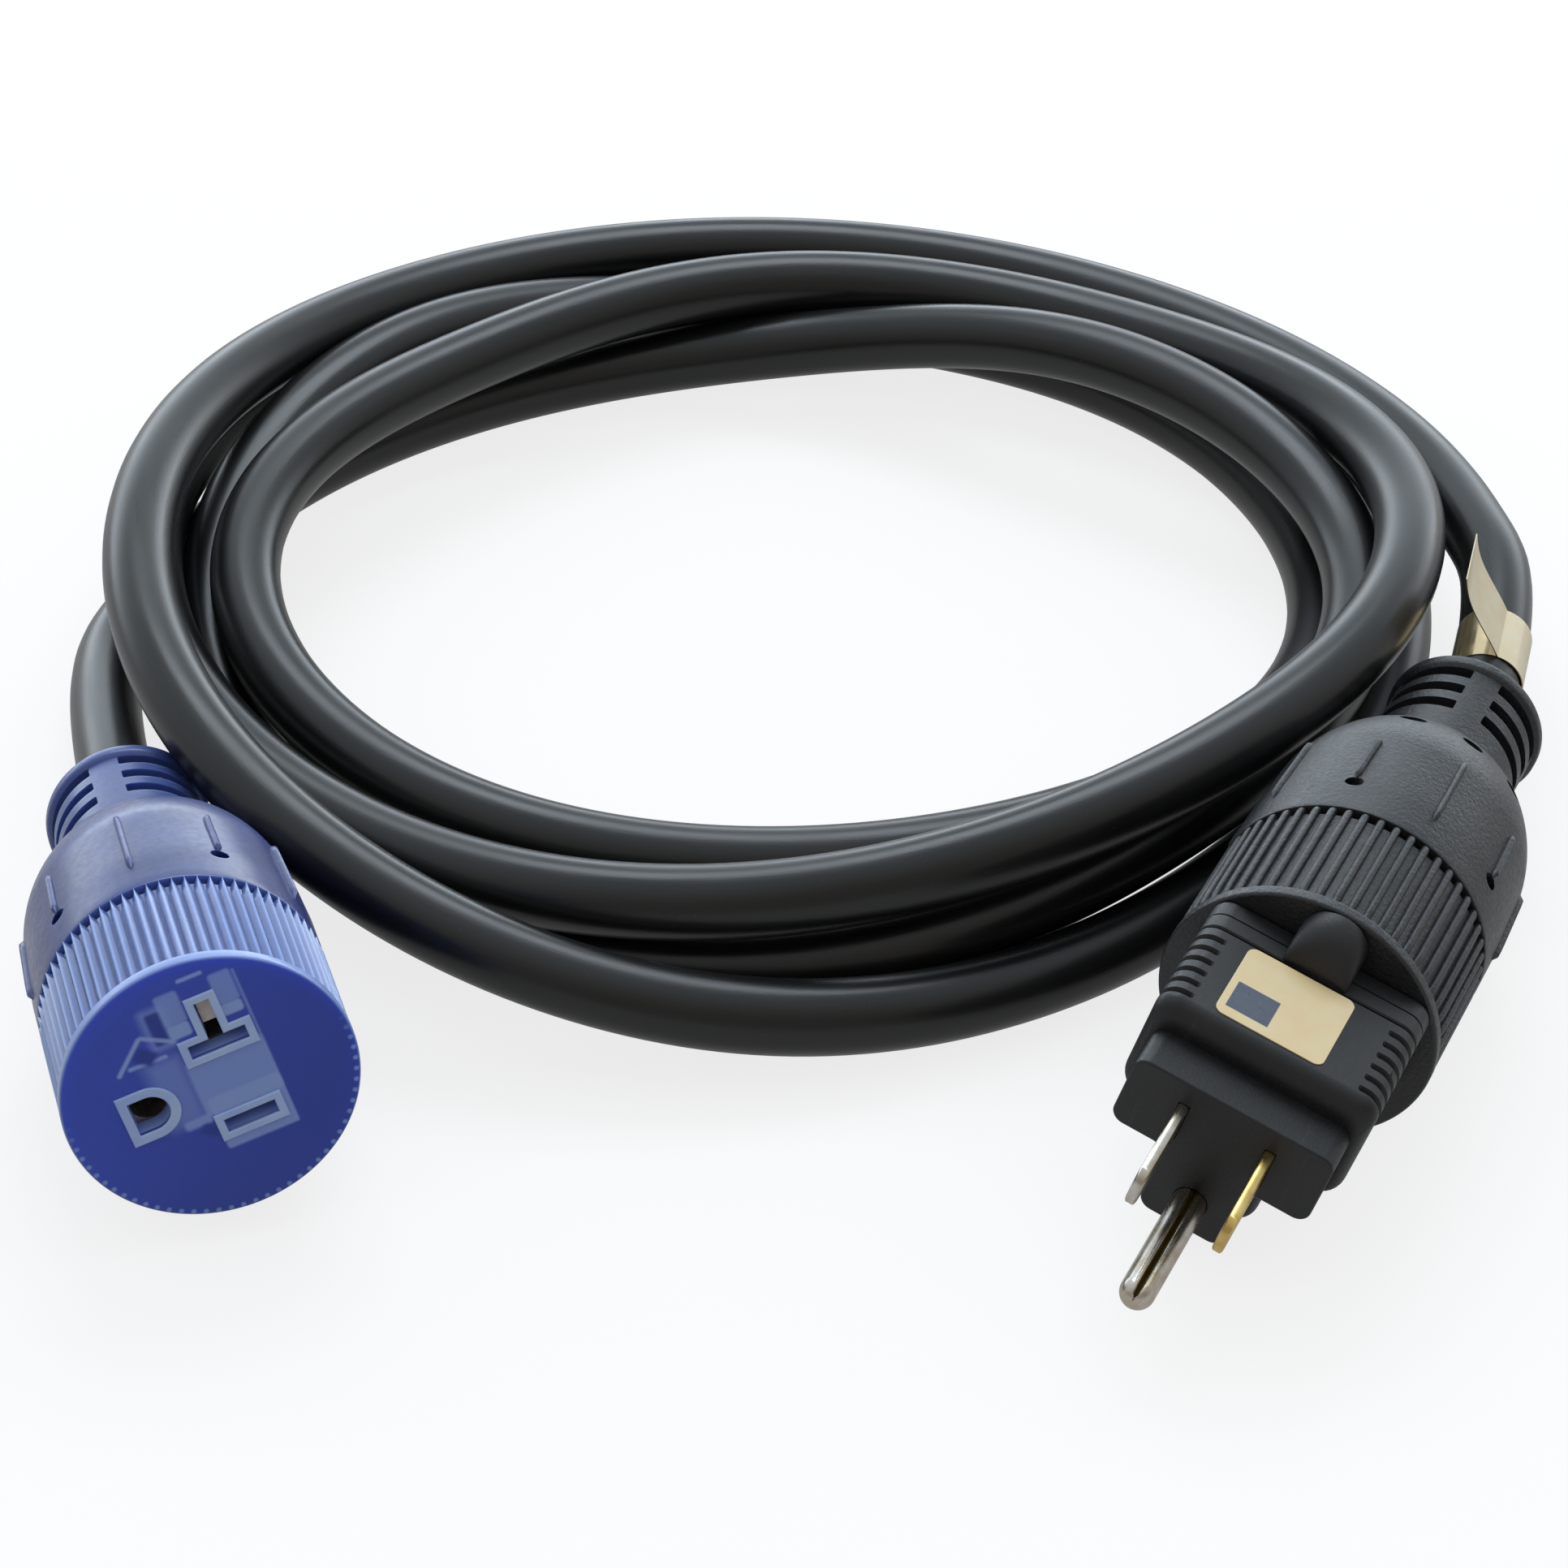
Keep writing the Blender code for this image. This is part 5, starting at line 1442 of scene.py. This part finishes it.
def plate_sides(blade, finish):
    """Give a bare blade's flat sides the plated finish, and leave its worn edges."""
    blade.data.materials.append(finish)
    across = ADAPTER.col[0].to_3d()
    for face in blade.data.polygons:
        face.material_index = int(abs(face.normal.dot(across)) > 0.8)


def pin_piece(centre, z_range, radius, finish, gap):
    """A folded ground pin: its two rolled edges meet in a slit that runs over the domed tip."""
    root, tip = z_range
    shoulder = tip - radius
    slit = [(angle, 1 - PIN_SLIT_DEPTH * math.exp(-(((angle - QUARTER) / PIN_SLIT_SPREAD) ** 2)))
            for angle in np.linspace(0, math.tau, 121)[:-1]]
    stations = [(root, 1.0), (shoulder, 1.0)]
    stations += [(shoulder + radius * math.sin(a), math.cos(a)) for a in np.linspace(0, 1.5, 12)[1:]]
    pin = loft("adapter_pin", [
        (z, [(centre[0] + radius * scale * depth * math.cos(angle),
              centre[1] + radius * scale * depth * math.sin(angle)) for angle, depth in slit])
        for z, scale in stations], ADAPTER, finish)
    # the slit's faces take a dark finish: painted shade
    pin.data.materials.append(gap)
    back = ADAPTER.inverted()
    for face in pin.data.polygons:
        spot = back @ face.center
        sideways, upward = spot.x - centre[0], spot.y - centre[1]
        beyond = max(0.0, spot.z - shoulder) / radius
        whole = radius * math.sqrt(max(0.0, 1 - beyond**2))
        in_slit = upward > 0 and abs(sideways) < 0.42 * MM and math.hypot(sideways, upward) < 0.93 * whole
        face.material_index = int(in_slit and spot.z < tip - 0.5 * MM)
    return pin


def make_blades(settings):
    """The adapter's contacts: a blade or pin in front and a spring socket behind, in one piece."""
    size = settings.adapter
    nickel = material_named("nickel_blade", settings)
    brass = material_named("contact_brass", settings)
    back, front = seam_of(size) + 0.3 * MM, -8 * MM
    contacts = (("hot", -BLADE_X, -BLADE_X, (4.2 * MM, 9.1 * MM), nickel, "nickel_blade"),
                ("neutral", BLADE_X, CROSS_BLADE_X, (9.1 * MM, 4.2 * MM), brass, "contact_brass"))
    for name, x, socket_x, extent, finish, slot in contacts:
        piece = box(f"adapter_{name}_blade", extent, (socket_x, 0), (back, front), ADAPTER, finish)
        carve(piece, [box("mouth_cut", [side - 2.1 * MM for side in extent], (socket_x, 0),
                          (back - MM, -13.6 * MM), ADAPTER)])
        blade = blade_piece((x, 0), (-10 * MM, size.blade), finish)
        if finish == brass:
            plate_sides(blade, nickel)
        carve(piece, [blade], "UNION")
        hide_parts(f"adapter_{name}_contact")
        ride_all([piece], "adapter")
    spot = (0, -GROUND_DROP)
    gap = material_named("pin_slit_shade", settings)
    piece = pin_piece(spot, (-9 * MM, size.pin), size.pin_radius, nickel, gap)
    profile = [(0, -10 * MM), (2.7 * MM, -10 * MM), (2.7 * MM, back), (3.75 * MM, back), (3.75 * MM, front),
               (0, front)]
    carve(piece, [turned("socket_join", profile, 40, ADAPTER, nickel, spot)], "UNION")
    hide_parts("adapter_ground_contact")
    ride_all([piece], "adapter")


def dress_inner(settings):
    """The finishes of the pieces inside, which keep their own solids."""
    finishes = {
        "connector_contact_block": "inner_plastic", "plug_blade_block": "inner_plastic",
        "connector_hot_contact": "connector_brass", "connector_neutral_contact": "connector_brass",
        "connector_ground_contact": "connector_brass", "plug_hot_blade": "nickel_blade",
        "plug_neutral_blade": "nickel_blade", "plug_ground_pin": "nickel_blade",
    }
    for end in ("connector", "plug"):
        for wire_name, finish in (("hot", "wire_black"), ("neutral", "wire_white"), ("ground", "wire_green")):
            finishes[f"{end}_{wire_name}_wire"] = finish
    for name, finish in finishes.items():
        mesh = frame["nodes"][name].data
        mesh.materials.clear()
        mesh.materials.append(material_named(finish, settings))


# ---- the stage ----


def make_camera(stage):
    data = bpy.data.cameras.new("camera")
    data.lens = stage.lens
    data.sensor_width = SENSOR_WIDTH_MM
    camera = link(bpy.data.objects.new("camera", data))
    turn = Matrix.Translation(CAMERA_PLACE)
    for axis, degrees in CAMERA_TURN_DEGREES:
        turn @= Matrix.Rotation(math.radians(degrees), 4, axis)
    camera.matrix_world = turn
    bpy.context.scene.camera = camera


def make_world(stage):
    """A sky that is bright above and behind, dim in front, and plain white to the camera."""
    world = bpy.data.worlds.new("sky")
    bpy.context.scene.world = world
    world.use_nodes = True
    tree = world.node_tree
    direction = source(tree, "ShaderNodeTexCoord", "Generated")
    seen = source(tree, "ShaderNodeLightPath", "Is Camera Ray")
    toward = vector_maths(tree, "DOT_PRODUCT", direction, LIGHT_FROM, output="Value")
    parts = split(tree, direction)
    low = times(tree, ramp(tree, parts["Z"], 0.42, 0.1), ramp(tree, parts["Y"], 0.35, 0.9))
    sky = maths(tree, "ADD", ramp(tree, toward, -0.4, 0.95, stage.front, stage.sky),
                times(tree, low, stage.backdrop))
    unseen = maths(tree, "SUBTRACT", 1.0, seen)
    tint = mixed(tree, ramp(tree, toward, -0.2, 0.8), stage.warm, stage.cool)
    connect(tree, tree.nodes["Background"], {
        "Color": mixed(tree, seen, tint, (1, 1, 1)),
        "Strength": maths(tree, "ADD", times(tree, sky, unseen), seen)})


def make_floor(stage, colours):
    """A pale floor that looks white where no shadow falls, and lights the object only a little."""
    builder = bmesh.new()
    bmesh.ops.create_grid(builder, x_segments=1, y_segments=1, size=stage.floor / 2)
    material, tree, shader = finish_tree("floor_paper", 0.9, specular_ior_level=0.1)
    path = node(tree, "ShaderNodeLightPath", {}).outputs
    seen = maths(tree, "MAXIMUM", path["Is Camera Ray"], times(tree, path["Is Glossy Ray"], 0.5))
    seen = maths(tree, "MAXIMUM", seen, path["Is Transmission Ray"])
    lit, shown = scaled(colours.floor, stage.bounce), scaled(colours.floor, 1 - stage.glow)
    connect(tree, shader, {
        "Base Color": mixed(tree, seen, lit, shown), "Emission Color": (1.0, 1.0, 1.0, 1.0),
        "Emission Strength": times(tree, seen, stage.glow)})
    floor = piece_from("floor", builder, finish=material)


def make_lamp(stage):
    """One wide lamp above and behind the object."""
    data = bpy.data.lights.new("overhead", "AREA")
    data.shape = "RECTANGLE"
    data.size, data.size_y = LAMP_SIZE
    data.color = stage.cool
    data.energy = stage.lamp
    lamp = link(bpy.data.objects.new("overhead", data))
    turn = (Vector(LAMP_PLACE) - Vector(LAMP_AIM)).to_track_quat("Z", "Y").to_matrix().to_4x4()
    lamp.matrix_world = Matrix.Translation(LAMP_PLACE) @ turn


def make_stage(settings):
    scene = bpy.context.scene
    scene.view_settings.view_transform = "Standard"
    make_camera(settings.stage)
    make_world(settings.stage)
    make_floor(settings.stage, settings.colours)
    make_lamp(settings.stage)


# ---- operators ----


class POWERCORD_OT_stage(bpy.types.Operator):
    """Make the camera, the sky, the floor and the lamp"""

    bl_idname = "power_cord.stage"
    bl_label = "Stage"

    def execute(self, context):
        make_stage(context.scene.power_cord)
        return {"FINISHED"}


class POWERCORD_OT_cord(bpy.types.Operator):
    """Wind the jacketed cord and put the foil tag on it"""

    bl_idname = "power_cord.cord"
    bl_label = "Cord and Tag"

    def execute(self, context):
        make_cord(context.scene.power_cord)
        return {"FINISHED"}


class POWERCORD_OT_connector(bpy.types.Operator):
    """Mould the blue connector with its grip, ribs and slot edges"""

    bl_idname = "power_cord.connector"
    bl_label = "Connector"

    def execute(self, context):
        make_connector(context.scene.power_cord)
        return {"FINISHED"}


class POWERCORD_OT_plug(bpy.types.Operator):
    """Mould the black plug with its grip and ribs"""

    bl_idname = "power_cord.plug"
    bl_label = "Plug"

    def execute(self, context):
        make_plug(context.scene.power_cord)
        return {"FINISHED"}


class POWERCORD_OT_adapter(bpy.types.Operator):
    """Make the adapter's body, rear cover and label"""

    bl_idname = "power_cord.adapter"
    bl_label = "Adapter"

    def execute(self, context):
        make_adapter(context.scene.power_cord)
        make_label(context.scene.power_cord)
        return {"FINISHED"}


class POWERCORD_OT_blades(bpy.types.Operator):
    """Make the adapter's blades and its folded ground pin"""

    bl_idname = "power_cord.blades"
    bl_label = "Blades"

    def execute(self, context):
        make_blades(context.scene.power_cord)
        return {"FINISHED"}


class POWERCORD_OT_inner(bpy.types.Operator):
    """Give the inner blocks, contacts and wires their finishes"""

    bl_idname = "power_cord.inner"
    bl_label = "Inner Pieces"

    def execute(self, context):
        dress_inner(context.scene.power_cord)
        return {"FINISHED"}


OPERATORS = (POWERCORD_OT_stage, POWERCORD_OT_cord, POWERCORD_OT_connector, POWERCORD_OT_plug,
             POWERCORD_OT_adapter, POWERCORD_OT_blades, POWERCORD_OT_inner)


class POWERCORD_PT_panel(bpy.types.Panel):
    """Lists the steps that build the power cord"""

    bl_idname = "POWERCORD_PT_panel"
    bl_label = "Power Cord"
    bl_space_type = "VIEW_3D"
    bl_region_type = "UI"
    bl_category = "Power Cord"

    def draw(self, context):
        for operator in OPERATORS:
            self.layout.operator(operator.bl_idname)


CLASSES = (EndSizes, CordSizes, AdapterSizes, Colours, StageSizes, PowerCord, *OPERATORS, POWERCORD_PT_panel)


def register():
    for each in CLASSES:
        bpy.utils.register_class(each)
    bpy.types.Scene.power_cord = PointerProperty(type=PowerCord)


def unregister():
    del bpy.types.Scene.power_cord
    for each in reversed(CLASSES):
        bpy.utils.unregister_class(each)


def corners(bounds):
    return [list(corner) for corner in bounds]


def main():
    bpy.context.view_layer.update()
    register()
    for operator in OPERATORS:
        getattr(bpy.ops.power_cord, operator.bl_idname.split(".")[1])()


if __name__ == "__main__":
    main()
